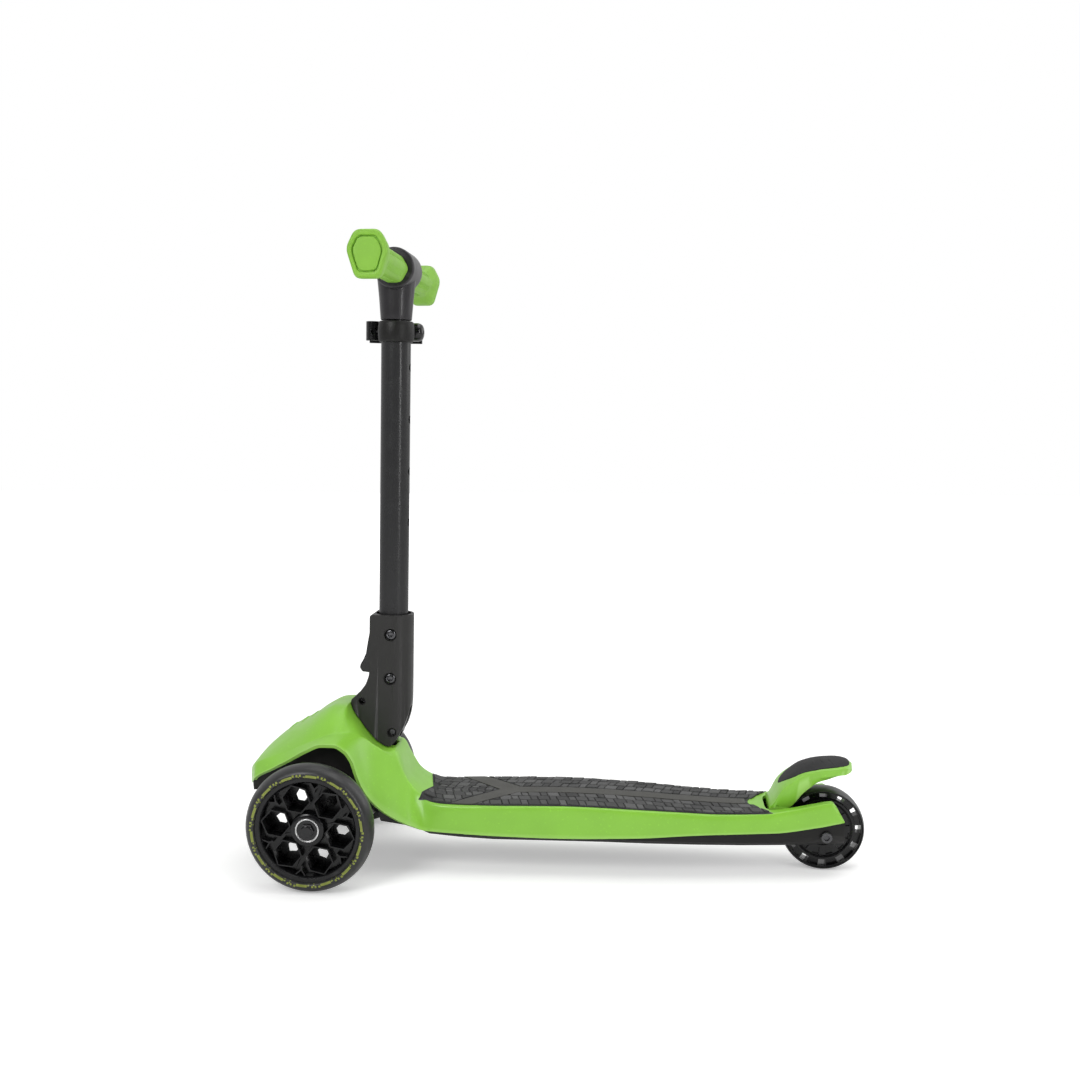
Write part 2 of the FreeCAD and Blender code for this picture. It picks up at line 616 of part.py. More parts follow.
def make_fender():
    foot = slab([(208, 66), (226.5, 64), (216, 55), (208, 55)], -21.5, 21.5)
    hinge = cylinder(4.5, 43, (brake_x, -21.5, brake_z), (0, 1, 0))
    arm = slab(FENDER_TOP + FENDER_UNDER[:-1] + [(224, 64)], -26, 26)
    arm = arm.common(plan(FENDER_PLAN, 40, 120))
    wheel_room = cylinder(BRAKE_GAP_R, 29, (rear_x, -14.5, rear_r), (0, 1, 0))
    pin_hole = cylinder(size("brake_pin_r") + size("clearance"), 60, (brake_x, -30, brake_z),
                        (0, 1, 0))
    return arm.fuse([foot, hinge]).cut([wheel_room, pin_hole, brake_pad_layer()])


feature("brake_fender", make_fender())
feature("brake_pad", brake_pad_layer())
rod("brake_pin", "Sizes.brake_pin_r", "Sizes.brake_pin_len",
    Placement(Vector(brake_x, -size("brake_pin_len") / 2, brake_z), Y_AXLE))

# ---------------------------------------------------------------- stem, in its own leaning frame
pivot = STEM.inverse().multVec(Vector(fold_x, 0, fold_z))
HOUSING = [(-20.3, 244.5), (20, 244.5), (20, 191.5), (19.25, 158.9), (17.3, 145.8),
           (13.5, 133.7), (9.2, 125.8), (4.95, 118.1), (0.7, 114.6), (-4.5, 116),
           (-11.5, 119.9), (-20.3, 128.5), (-29.1, 139.4), (-36.9, 149), (-40.2, 157.8),
           (-30.7, 166.4), (-24, 175.2), (-20.5, 184.8)]
HOUSING_PLAN = [(-41, 9), (-39.5, 13), (-34, 15.5), (-20, 17.2), (-10, 19)]
THROUGH_SCREWS = [(0.55, 225.4), (-27.6, 158.4)]
SHORT_SCREW = (0.4, 182.1)
tube_r = size("outer_tube_r")


def make_housing(side):
    """One moulded half of the fold housing, parted at the centre plane."""
    arc = [(20 * math.sin(math.radians(a)), 20 * math.cos(math.radians(a)))
           for a in (0, 15, 30, 45, 60, 75, 90)]
    rounded = plan(HOUSING_PLAN + [(u, min(v, 19.6)) for u, v in arc[:-1]] + [(20.1, 0)],
                   100, 260)
    low, high = sorted((side * 0.05, side * 21))
    half = slab(HOUSING, low, high).common(rounded)
    pu, pw = pivot.x, pivot.z
    tongue_room = cylinder(27.5, 11.4, (pu, -5.7, pw), (0, 1, 0)).cut(
        block((pu + 9.5, -10, pw + 4), (pu + 30, 10, pw + 30)))
    cuts = [
        cylinder(tube_r + 0.02, 60, (0, 0, size("tube_bottom")), (0, 0, 1)),
        cylinder(16.6, 10, (0, 0, 240.5), (0, 0, 1)),
        tongue_room,
        block((-1.6, -12.1, 156.9), (8.6, 12.1, 186.1)),
        block((pu - 1.65, -5.2, 150), (pu + 1.65, 5.2, 160)),
        cylinder(13, 5, (0, 0, 186), (0, 0, 1)),
        block((-19.6, -6.6, 167.5), (1.5, 6.6, 190)),
        block((-34, -6.6, 184.2), (-12, 6.6, 228.5)),
        cylinder(size("fold_pin_r") + size("clearance"), 60, (pu, -30, pw), (0, 1, 0)),
        cylinder(1.52, 18.4, (-17.5, -9.2, 221), (0, 1, 0)),
        cylinder(1.75, 60, (SHORT_SCREW[0], -30, SHORT_SCREW[1]), (0, 1, 0)),
        cylinder(6.2, 5, (SHORT_SCREW[0], side * 16.2, SHORT_SCREW[1]), (0, side, 0)),
    ]
    for u, w in THROUGH_SCREWS:
        radius = 6.2 if w > 200 else 3.7
        cuts.append(cylinder(2.05, 60, (u, -30, w), (0, 1, 0)))
        cuts.append(cylinder(radius, 10, (u, side * (16.2 if w > 200 else 12.2), w),
                             (0, side, 0)))
    return half.cut(cuts)


feature("housing_left", make_housing(-1), STEM)
feature("housing_right", make_housing(1), STEM)


def make_housing_screws():
    """Two through bolts with nuts on the right, and a short screw from each side."""
    u, w = THROUGH_SCREWS[0]
    upper = screw(u, -19, w, 5, 2.6, 2, 35, (0, 1, 0))
    upper = upper.fuse(hexagon(8, 2.6, (u, 16.4, w), (0, 1, 0)))
    u, w = THROUGH_SCREWS[1]
    front = screw(u, -13.6, w, 3.5, 1.3, 2, 26, (0, 1, 0)).fuse(
        cylinder(3.5, 1.3, (u, 12.3, w), (0, 1, 0)))
    u, w = SHORT_SCREW
    lower = [screw(u, side * 19, w, 5, 2.6, 1.7, 10.5, (0, -side, 0)) for side in (-1, 1)]
    return Part.makeCompound([upper, front] + lower)


feature("housing_screws", make_housing_screws(), STEM)


def make_outer_tube():
    """Steel tube with four height holes, the clamp slit and the bolt hole."""
    bottom = size("tube_bottom")
    body = cylinder(tube_r, size("outer_tube_len"), (0, 0, bottom), (0, 0, 1))
    cuts = [cylinder(size("bore_r"), size("outer_tube_len"), (0, 0, bottom), (0, 0, 1)),
            cylinder(2.05, 60, (THROUGH_SCREWS[0][0], -30, THROUGH_SCREWS[0][1]), (0, 1, 0)),
            block((-0.75, 0, 490), (0.75, 20, 530))]
    for step in range(4):
        level = size("first_hole") + step * size("height_step")
        cuts.append(cylinder(4, 10, (8, 0, level), (1, 0, 0)))
    return body.cut(cuts)


feature("outer_tube", make_outer_tube(), STEM)
tube("tube_bush", "Sizes.bush_r", "Sizes.bush_bore_r", "Sizes.bush_len",
     STEM.multiply(at(0, 0, 478)))
feature("tube_plug", cylinder(size("bore_r") - 0.02, 6, (0, 0, 200), (0, 0, 1)), STEM)
feature("latch_spring", cylinder(6, 17.4, (0, 0, 182.3), (0, 0, 1)).cut(
    cylinder(4, 20, (0, 0, 182), (0, 0, 1))), STEM)


def make_latch_guide():
    """Steel block that guides the latch plunger and takes the short screws."""
    guide = block((-1.5, -12, 157), (8.5, 12, 186))
    slot = block((pivot.x - 1.65, -5.2, 150), (pivot.x + 1.65, 5.2, 190))
    head_room = block((-9, -6.7, 168), (1.2, 6.7, 190))
    spring_room = cylinder(6.3, 10, (0, 0, 182), (0, 0, 1))
    screw_bore = cylinder(1.72, 40, (SHORT_SCREW[0], -20, SHORT_SCREW[1]), (0, 1, 0))
    return guide.cut([slot, head_room, spring_room, screw_bore])


feature("latch_guide", make_latch_guide(), STEM)
feature("trigger_pin", cylinder(1.5, 18, (-17.5, -9, 221), (0, 1, 0)), STEM)

PLUNGER = [(pivot.x - 1.5, 150.3), (pivot.x + 1.5, 150.3), (pivot.x + 1.5, 182), (-8, 182),
           (-8, 176.8), (pivot.x - 1.5, 171)]
feature("latch_plunger", slab(PLUNGER, -5, 5), STEM)

TRIGGER = [(-19.7, 226.8), (-23.2, 224.5), (-26.5, 204), (-31.8, 193), (-32.6, 189.5),
           (-30, 185.6), (-20.9, 184.8), (-18.8, 184.5), (-18.8, 170.5), (-8.5, 170.5),
           (-8.5, 174.5), (-15.3, 174.5), (-15.3, 187), (-20.6, 188), (-20.6, 212),
           (-15.6, 218), (-15.2, 222), (-17, 226)]
feature("fold_trigger", slab(TRIGGER, -6, 6).cut(
    cylinder(1.5 + size("clearance"), 20, (-17.5, -10, 221), (0, 1, 0))), STEM)

# height clamp: collar with two ears on the right, bolt fore and aft
CLAMP_Y, CLAMP_W, CAM_U = 20, 519, -26.5


def make_collar():
    ring = cylinder(size("collar_r"), size("collar_h"), (0, 0, 508), (0, 0, 1))
    ears = block((-19, 9, 511), (12.6, 26, 527))
    bore = cylinder(tube_r + 0.02, 40, (0, 0, 500), (0, 0, 1))
    slit = block((-0.75, 0, 500), (0.75, 40, 540))
    bolt_hole = cylinder(2.55, 60, (-30, CLAMP_Y, CLAMP_W), (1, 0, 0))
    return ring.fuse(ears).cut([bore, slit, bolt_hole]).removeSplitter()


feature("clamp_collar", make_collar(), STEM)


def make_clamp_bolt():
    shank = cylinder(2.5, 49, (CAM_U, CLAMP_Y, CLAMP_W), (1, 0, 0))
    eye = cylinder(4.2, 5.6, (CAM_U, CLAMP_Y, CLAMP_W - 2.8), (0, 0, 1))
    pin = cylinder(2, 18.4, (CAM_U, CLAMP_Y, 510.6), (0, 0, 1))
    return shank.fuse([eye, pin])


feature("clamp_bolt", make_clamp_bolt(), STEM)
turned("clamp_nut", [(2.52, 0), (9, 0), (9, 6.2), (7.2, 9), (4.5, 10.3), (2.52, 10.3)],
       STEM.multiply(Placement(Vector(13.1, CLAMP_Y, CLAMP_W),
                               Rotation(Vector(0, 1, 0), 90))))


def make_clamp_lever():
    """Quick-release lever: a round cam on the pin and an arm wrapped round the collar."""
    cam = cylinder(7.2, 18.5, (CAM_U, CLAMP_Y, 510.5), (0, 0, 1))
    arm_plan = [(-32, 24.5), (-26.5, 26.5), (-20.5, 27.4), (-12, 29.8), (20, 29.8), (20, 33),
                (-14, 33), (-30, 29.5)]
    ring = Part.makePolygon([Vector(u, v, 508.5) for u, v in arm_plan + arm_plan[:1]])
    arm = Part.Face(ring).extrude(Vector(0, 0, 13.5))
    bolt_room = [block((CAM_U - 8, 8, CLAMP_W - 3), (CAM_U + 12, 20.5, CLAMP_W + 3)),
                 block((CAM_U, 8, CLAMP_W - 3), (CAM_U + 12, 22.8, CLAMP_W + 3)),
                 cylinder(4.5, 6, (CAM_U, CLAMP_Y, CLAMP_W - 3), (0, 0, 1)),
                 cylinder(2 + size("clearance"), 40, (CAM_U, CLAMP_Y, 500), (0, 0, 1))]
    return cam.fuse(arm).cut(bolt_room)


feature("clamp_lever", make_clamp_lever(), STEM)

# ---------------------------------------------------------------- T-bar
BUTTON_R = 3.6
first_hole = size("first_hole")
blank = hollow("inner_tube_blank", "Sizes.inner_tube_r", "Sizes.inner_bore_r",
               "Sizes.inner_tube_len")
blank.Placement = STEM.multiply(at(0, 0, size("inner_tube_bottom")))
button_hole = doc.addObject("Part::Cylinder", "button_hole")
button_hole.Radius = BUTTON_R + size("clearance")
button_hole.Height = 14
button_hole.Placement = STEM.multiply(Placement(Vector(4, 0, first_hole), Rotation(Vector(0, 1, 0), 90)))
inner_tube = doc.addObject("Part::Cut", "inner_tube")
inner_tube.Base = blank
inner_tube.Tool = button_hole
keep(inner_tube, "inner_tube")
turned("inner_tube_foot", [(0, 0), (12.72, 0), (12.72, 6), (9.57, 6), (9.57, 10), (0, 10)],
       STEM.multiply(at(0, 0, 312)))
feature("snap_button", cylinder(BUTTON_R, 7.1, (5, 0, first_hole), (1, 0, 0)).fuse(
    block((2, -4.5, first_hole - 4.5), (5, 4.5, first_hole + 4.5))), STEM)

bar_x, bar_z, tee_r = size("bar_x"), size("bar_z"), size("tee_r")
bar_local = STEM.inverse().multVec(Vector(bar_x, 0, bar_z))


def make_tee():
    """Moulded joint: flared neck over the inner tube, barrel round the handlebar."""
    half = size("tee_half")
    neck = Part.makeCone(15, 18.8, 44, Vector(0, 0, 529), Vector(0, 0, 1))
    barrel = cylinder(tee_r, 2 * half, (bar_local.x, -half, bar_local.z + 1.6), (0, 1, 0))
    bar_bore = cylinder(size("bar_r") + 0.02, 60, (bar_local.x, -30, bar_local.z), (0, 1, 0))
    tube_bore = cylinder(size("inner_tube_r") + 0.02, 40, (0, 0, 520.5), (0, 0, 1))
    return neck.fuse(barrel).cut([bar_bore, tube_bore]).removeSplitter()


feature("tee_joint", make_tee(), STEM)
tube("handlebar", "Sizes.bar_r", "Sizes.inner_bore_r", "Sizes.bar_len",
     Placement(Vector(bar_x, -size("bar_len") / 2, bar_z), Y_AXLE))

GRIP_HEX = [(15, 0), (7.5, 13), (-7.5, 13), (-15, 0), (-7.5, -13), (7.5, -13)]
GRIP_END = [(19, 5), (11, 21), (-11, 21), (-19, 5), (-11, -21), (11, -21)]


def grip_ring(points, y, scale=1.0):
    ring = [Vector(bar_x + scale * x, y, bar_z + scale * z) for x, z in points]
    return Part.makePolygon(ring + ring[:1])


def make_grip(side):
    bar_half, start = size("bar_half"), size("tee_half") + 0.3
    sections = [(GRIP_HEX, start, 1), (GRIP_HEX, 114, 1), (GRIP_END, 129, 0.97),
                (GRIP_END, 135.5, 1), (GRIP_END, bar_half, 0.92)]
    solid = Part.makeLoft([grip_ring(points, side * y, scale)
                           for points, y, scale in sections], True, True)
    bore = cylinder(size("bar_r") + 0.02, 136, (bar_x, 0, bar_z), (0, side, 0))
    low, high = sorted((side * 136.2, side * 142))
    recess = slab([(bar_x + 0.7 * x, bar_z + 0.7 * z) for x, z in GRIP_END], low, high)
    return solid.cut([bore, recess])


def make_plug(side):
    low, high = sorted((side * 136.25, side * 138))
    return slab([(bar_x + 0.69 * x, bar_z + 0.69 * z) for x, z in GRIP_END], low, high)


for side, name in ((-1, "left"), (1, "right")):
    feature(f"grip_{name}", make_grip(side))
    feature(f"grip_plug_{name}", make_plug(side))


# ---------------------------------------------------------------- check and write
doc.recompute()
broken = [item.Label for item in doc.Objects if {"Invalid", "Error"} & set(item.State)]
for item in SUBPARTS:
    if item.Shape.isNull() or not item.Shape.isValid() or item.Shape.Volume <= 0:
        broken.append(item.Label)
if broken:
    raise RuntimeError("not sound: " + ", ".join(broken))
os.makedirs("parts", exist_ok=True)
for item in SUBPARTS:
    item.Shape.exportStep(f"parts/{item.Label}.step")
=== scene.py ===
import bpy
import bmesh
import json
import math
import random
from mathutils import Matrix, Vector


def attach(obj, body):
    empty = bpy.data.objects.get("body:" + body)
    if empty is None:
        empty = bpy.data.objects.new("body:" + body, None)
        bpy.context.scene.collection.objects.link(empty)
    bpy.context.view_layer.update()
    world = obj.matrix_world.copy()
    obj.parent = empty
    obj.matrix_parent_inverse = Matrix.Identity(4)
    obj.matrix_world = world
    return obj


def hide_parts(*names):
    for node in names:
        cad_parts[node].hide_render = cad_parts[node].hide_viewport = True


# Child's kick scooter: nose at -X, left side at -Y, ground at Z = 0. Outlines are in
# millimetres and turned to metres when a mesh is made.
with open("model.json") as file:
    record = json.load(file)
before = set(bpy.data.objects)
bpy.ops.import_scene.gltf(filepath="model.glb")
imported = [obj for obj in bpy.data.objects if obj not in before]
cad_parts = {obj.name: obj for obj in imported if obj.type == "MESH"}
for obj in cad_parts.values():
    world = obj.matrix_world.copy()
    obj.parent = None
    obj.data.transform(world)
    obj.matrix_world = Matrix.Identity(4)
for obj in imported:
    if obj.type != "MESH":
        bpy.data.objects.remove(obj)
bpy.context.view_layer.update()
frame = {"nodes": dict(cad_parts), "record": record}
random.seed(7)
MM = 0.001

# ------------------------ materials


class Shader:
    """Small helper that adds nodes to a material and links them."""

    def __init__(self, name):
        self.mat = bpy.data.materials.new(name)
        self.mat.use_nodes = True
        self.tree = self.mat.node_tree
        self.bsdf = self.tree.nodes["Principled BSDF"]
        self.coords = self.tree.nodes.new("ShaderNodeTexCoord").outputs["Object"]

    def node(self, kind, **sockets):
        made = self.tree.nodes.new(kind)
        for key, value in sockets.items():
            self.put(made.inputs[key.replace("_", " ")], value)
        return made

    def put(self, socket, value):
        if isinstance(value, bpy.types.NodeSocket):
            self.tree.links.new(value, socket)
        else:
            socket.default_value = value

    def set(self, name, value):
        self.put(self.bsdf.inputs[name], value)

    def noise(self, scale, detail=3.0, rough=0.5, stretch=(1, 1, 1)):
        place = self.node("ShaderNodeMapping", Vector=self.coords, Scale=stretch)
        made = self.node("ShaderNodeTexNoise", Vector=place.outputs["Vector"], Scale=scale,
                         Detail=detail, Roughness=rough)
        return made.outputs["Fac"]

    def span(self, value, low, high, out_low, out_high):
        made = self.node("ShaderNodeMapRange")
        made.clamp = True
        for key, number in (("From Min", low), ("From Max", high), ("To Min", out_low),
                            ("To Max", out_high)):
            made.inputs[key].default_value = number
        self.put(made.inputs["Value"], value)
        return made.outputs["Result"]

    def mix(self, factor, one, two):
        made = self.tree.nodes.new("ShaderNodeMix")
        made.data_type = "RGBA"
        self.put(made.inputs["Factor"], factor)
        self.put(made.inputs["A"], one)
        self.put(made.inputs["B"], two)
        return made.outputs["Result"]

    def bump(self, height, strength, distance, normal=None):
        made = self.node("ShaderNodeBump", Height=height, Strength=strength, Distance=distance)
        if normal is not None:
            self.put(made.inputs["Normal"], normal)
        return made.outputs["Normal"]

    def edges(self):
        """Where the surface turns sharply outward, for worn or caught edges."""
        geometry = self.tree.nodes.new("ShaderNodeNewGeometry")
        return self.span(geometry.outputs["Pointiness"], 0.54, 0.62, 0, 1)


def rgba(colour, gain=1.0):
    return tuple(min(1.0, c * gain) for c in colour) + (1.0,)


def moulded(name, colour, rough, grain=0.35, grain_scale=1700, coat=0.0, wear=None,
            mottle=0.08, spec=0.5, blocks=None):
    """Moulded plastic or rubber: mottled, grained, paler at the edges, shaded by block."""
    s = Shader(name)
    broad = s.noise(22, 4)
    fine = s.noise(grain_scale, 2, 0.6)
    tone = s.mix(s.span(broad, 0.3, 0.7, 0, 1), rgba(colour, 1 - mottle),
                 rgba(colour, 1 + mottle))
    speck = s.mix(s.span(s.noise(420, 3), 0.62, 0.72, 0, 0.35), tone, rgba(colour, 1.35))
    worn = wear or tuple(min(1, 1.5 * c + 0.012) for c in colour)
    surface = s.mix(s.edges(), speck, rgba(worn))
    if blocks:
        island = s.node("ShaderNodeNewGeometry").outputs["Random Per Island"]
        scale = s.node("ShaderNodeVectorMath")
        scale.operation = "SCALE"
        s.put(scale.inputs[0], surface)
        s.put(scale.inputs["Scale"], s.span(island, 0, 1, *blocks))
        surface = scale.outputs["Vector"]
    s.set("Base Color", surface)
    s.set("Roughness", s.span(s.noise(60, 5, 0.6), 0.3, 0.7, rough - 0.05, rough + 0.07))
    s.set("Specular IOR Level", spec)
    s.set("Coat Weight", coat)
    s.set("Coat Roughness", 0.12)
    wave = s.bump(broad, 0.12, 0.002)
    s.set("Normal", s.bump(fine, grain, 0.00012, wave))
    return s.mat


def metal(name, colour, rough, brushed=True, wear=0.4):
    s = Shader(name)
    lines = s.noise(900, 2, 0.5, (0.06, 1, 1) if brushed else (1, 1, 1))
    stain = s.noise(35, 5)
    tone = s.mix(s.span(stain, 0.35, 0.7, 0, 1), rgba(colour, 0.8), rgba(colour, 1.08))
    s.set("Base Color", s.mix(s.edges(), tone, rgba(colour, 1 + wear)))
    s.set("Metallic", 1.0)
    s.set("Roughness", s.span(lines, 0.3, 0.7, rough - 0.07, rough + 0.1))
    s.set("Normal", s.bump(lines, 0.2, 0.00005))
    return s.mat


def powder_coat(name, colour, rough):
    """Satin powder coat on steel: orange peel and faint wear at the edges."""
    s = Shader(name)
    peel = s.noise(620, 2, 0.5)
    tone = s.mix(s.span(s.noise(30, 4), 0.3, 0.7, 0, 1), rgba(colour, 0.85),
                 rgba(colour, 1.2))
    s.set("Base Color", s.mix(s.edges(), tone, rgba((0.028, 0.028, 0.029))))
    s.set("Roughness", s.span(s.noise(90, 4), 0.3, 0.7, rough - 0.05, rough + 0.06))
    s.set("Specular IOR Level", 0.24)
    s.set("Normal", s.bump(peel, 0.15, 0.0001))
    return s.mat


def cast_tyre(name):
    """Smoky cast polyurethane: nearly black, a little light passing through, soft scuffs."""
    s = Shader(name)
    cloud = s.noise(45, 4)
    tone = s.mix(s.span(cloud, 0.3, 0.7, 0, 1), rgba((0.014, 0.014, 0.0145)),
                 rgba((0.026, 0.026, 0.0265)))
    dust = s.span(s.noise(260, 5, 0.7), 0.6, 0.8, 0, 0.25)
    s.set("Base Color", s.mix(dust, tone, rgba((0.09, 0.09, 0.085))))
    s.set("Roughness", s.span(s.noise(70, 5), 0.3, 0.7, 0.3, 0.45))
    s.set("Specular IOR Level", 0.4)
    s.set("Subsurface Weight", 0.12)
    s.set("Subsurface Radius", (0.004, 0.004, 0.0035))
    s.set("Coat Weight", 0.15)
    s.set("Coat Roughness", 0.3)
    s.set("Normal", s.bump(s.noise(1100, 3), 0.15, 0.0001))
    return s.mat


GREEN = (0.238, 0.545, 0.045)
MATS = {
    "green_plastic": moulded("green_moulding", GREEN, 0.36, 0.12, 1500, 0.15,
                             (0.36, 0.66, 0.14), 0.05),
    "black_plastic": moulded("black_moulding", (0.012, 0.0116, 0.0112), 0.4, 0.5, 1500,
                             spec=0.24),
    "pad_rubber": moulded("pad_rubber", (0.024, 0.024, 0.025), 0.62, 0.7, 1300, 0.0,
                          (0.07, 0.07, 0.07), 0.15, 0.25, (0.55, 1.5)),
    "inlay_rubber": moulded("inlay_rubber", (0.062, 0.061, 0.055), 0.55, 0.5, 1500, 0.0,
                            (0.1, 0.1, 0.09), 0.08, 0.3),
    "tyre_pu": cast_tyre("cast_tyre"),
    "core_plastic": moulded("core_moulding", (0.004, 0.004, 0.0045), 0.25, 0.12, 1500, 0.1,
                            spec=0.35),
    "black_steel": powder_coat("powder_coat", (0.004, 0.004, 0.0043), 0.24),
    "dark_metal": metal("black_zinc", (0.1, 0.1, 0.105), 0.24, False),
    "zinc_steel": metal("zinc_plate", (0.52, 0.52, 0.5), 0.36),
    "bearing_steel": metal("bearing_steel", (0.7, 0.7, 0.7), 0.25, False),
    "cushion_rubber": moulded("cushion_rubber", (0.03, 0.03, 0.03), 0.6, 0.4),
    "grip_rubber": moulded("grip_rubber", (0.205, 0.45, 0.034), 0.5, 0.45, 1300, 0.0,
                           (0.32, 0.58, 0.12), 0.05),
    "print_green": moulded("ring_print", (0.145, 0.18, 0.016), 0.42, 0.3, 900, 0.2,
                           (0.24, 0.28, 0.04), 0.35),
    "glossy_black": moulded("glossy_black", (0.007, 0.007, 0.0075), 0.2, 0.1, 1500, 0.2,
                            spec=0.35),
    "tee_plastic": moulded("tee_moulding", (0.019, 0.0175, 0.02), 0.34, 0.25, 1500, 0.1,
                           spec=0.35),
}

# ------------------------ mesh helpers
STEM = Matrix.Translation((-164.75, 0, 0)) @ Matrix.Rotation(math.radians(1.117), 4, "Y")
WORLD = Matrix.Identity(4)


def plain_object(name, points, faces):
    mesh = bpy.data.meshes.new(name)
    mesh.from_pydata([tuple(v) for v in points], [], faces)
    obj = bpy.data.objects.new(name, mesh)
    bpy.context.scene.collection.objects.link(obj)
    return obj


def new_object(name, verts, faces, place=WORLD):
    """A mesh object from millimetre points, its faces turned outwards."""
    obj = plain_object(name, [(place @ Vector(v)) * MM for v in verts], faces)
    bm = bmesh.new()
    bm.from_mesh(obj.data)
    bmesh.ops.remove_doubles(bm, verts=bm.verts, dist=1e-7)
    bmesh.ops.recalc_face_normals(bm, faces=bm.faces)
    bm.to_mesh(obj.data)
    bm.free()
    return obj


def modifier(obj, kind, **settings):
    made = obj.modifiers.new(kind.lower(), kind)
    for key, value in settings.items():
        setattr(made, key, value)
    return made


def bake(obj):
    """Turn the modifiers into plain mesh."""
    bpy.context.view_layer.update()
    graph = bpy.context.evaluated_depsgraph_get()
    mesh = bpy.data.meshes.new_from_object(obj.evaluated_get(graph))
    obj.modifiers.clear()
    obj.data = mesh
    return obj


def cut(obj, *cutters, operation="DIFFERENCE"):
    for cutter in cutters:
        modifier(obj, "BOOLEAN", operation=operation, solver="EXACT", object=cutter)
    bake(obj)
    for cutter in cutters:
        bpy.data.objects.remove(cutter)
    return obj


def finish(obj, body, nodes, slot, bevel=0.0, segments=3, angle=35, mat=None):
    """Material, softened edges, smooth shading and the body the piece moves with."""
    for poly in obj.data.polygons:
        poly.use_smooth = True
    obj.data.materials.clear()
    obj.data.materials.append(MATS[mat or slot])
    if bevel:
        modifier(obj, "BEVEL", width=bevel * MM, segments=segments, limit_method="ANGLE",
                 angle_limit=math.radians(angle), use_clamp_overlap=True)
        modifier(obj, "WEIGHTED_NORMAL", keep_sharp=True, weight=60)
    bake(obj)
    if not bevel:
        obj.data.set_sharp_from_angle(angle=math.radians(angle))
    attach(obj, body)
    if nodes:
        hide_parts(*nodes)


def prism(name, outline, low, high, axis="Y", place=WORLD):
    """Outline with thickness. For Y the outline is (x, z), for Z it is (x, y)."""
    def point(a, b, c):
        return (a, c, b) if axis == "Y" else (a, b, c)
    n = len(outline)
    verts = [point(a, b, low) for a, b in outline] + [point(a, b, high) for a, b in outline]
    faces = [tuple(range(n)), tuple(range(n, 2 * n))]
    faces += [(k, (k + 1) % n, n + (k + 1) % n, n + k) for k in range(n)]
    return new_object(name, verts, faces, place)


def lathe(name, profile, centre, axis="Y", steps=96, place=WORLD):
    """Closed (radius, height) profile turned about a line through the centre."""
    verts, faces = [], []
    n = len(profile)
    for k in range(steps):
        a = 2 * math.pi * k / steps
        for r, h in profile:
            ca, sa = r * math.cos(a), r * math.sin(a)
            local = {"Y": (ca, h, sa), "Z": (ca, sa, h), "X": (h, ca, sa)}[axis]
            verts.append(tuple(c + v for c, v in zip(centre, local)))
    for k in range(steps):
        j = (k + 1) % steps
        for i in range(n):
            m = (i + 1) % n
            faces.append((k * n + i, k * n + m, j * n + m, j * n + i))
    return new_object(name, verts, faces, place)


def rod(name, radius, start, length, axis="Y", place=WORLD, steps=48):
    return lathe(name, [(0, 0), (radius, 0), (radius, length), (0, length)], start, axis,
                 steps, place)


def box(name, low, high, place=WORLD):
    (x0, y0, z0), (x1, y1, z1) = low, high
    return prism(name, [(x0, y0), (x1, y0), (x1, y1), (x0, y1)], z0, z1, "Z", place)


def skin(name, rings):
    """A closed mesh through rings that have equal numbers of points."""
    n = len(rings[0])
    verts = [p for ring in rings for p in ring]
    faces = []
    for k in range(len(rings) - 1):
        for i in range(n):
            m = (i + 1) % n
            faces.append((k * n + i, k * n + m, (k + 1) * n + m, (k + 1) * n + i))
    faces += [tuple(range(n)), tuple(range((len(rings) - 1) * n, len(rings) * n))]
    return new_object(name, verts, faces)


def grid(verts, faces, rows):
    """Add rows of points and the faces between them to the lists of a mesh."""
    base, wide = len(verts), len(rows[0])
    for row in rows:
        verts.extend(row)
    for i in range(len(rows) - 1):
        for a in range(base + i * wide, base + (i + 1) * wide - 1):
            faces.append((a, a + 1, a + wide + 1, a + wide))


def sheet(name, verts, faces, thickness):
    """A thin sheet that grows downwards from its top face."""
    obj = new_object(name, verts, faces)
    if obj.data.polygons[40].normal.z < 0:
        obj.data.flip_normals()
    modifier(obj, "SOLIDIFY", thickness=thickness * MM, offset=-1)
    return bake(obj)


def merge(name, parts):
    """Several meshes made into one object."""
    verts, faces = [], []
    for part in parts:
        base = len(verts)
        verts += [tuple(v.co / MM) for v in part.data.vertices]
        faces += [tuple(base + i for i in p.vertices) for p in part.data.polygons]
        bpy.data.objects.remove(part)
    return plain_object(name, [Vector(v) * MM for v in verts], faces)


# ------------------------ deck guides
RIDGE = [(-299.5, 88), (-296.5, 96), (-290, 105), (-282, 114), (-262, 129.5), (-242, 140.5),
         (-227, 150.5), (-214, 156), (-203, 156.5), (-198, 147.4), (-191, 138.4), (-182.5, 127.6),
         (-174, 119), (-162, 113.6), (-156.5, 113.6), (-152, 109), (-149.8, 103.5),
         (-146.3, 94.5), (-142.4, 86.4), (-135.4, 79.5), (-126, 72.5), (-115, 68),
         (-100, 67.2), (-57, 67.8), (10, 68.8), (83, 66.4), (121, 64.2), (182, 62),
         (205, 62.5), (224, 65.5), (250, 71), (264, 73.4), (276, 55.9)]
FLAT = [(-299.5, 4), (-262, 8), (-230, 14), (-208, 21), (-155, 21), (-140, 15), (-115, 25),
        (-57, 30), (182, 28), (205, 20), (276, 20)]
CREASE_Y = [(-299.5, 9), (-296.5, 30), (-290, 49), (-282, 60), (-262, 63), (-240, 62),
            (-222, 58), (-208, 53), (-196, 47), (-184, 41), (-172, 36), (-160, 32), (-150, 29),
            (-140, 31), (-128, 38), (-115, 46), (-100, 49.5), (-57, 52.3), (10, 51.3),
            (83, 50.2), (121, 46.8), (159, 43.5), (200, 38), (224, 36), (264, 34.5), (276, 34)]
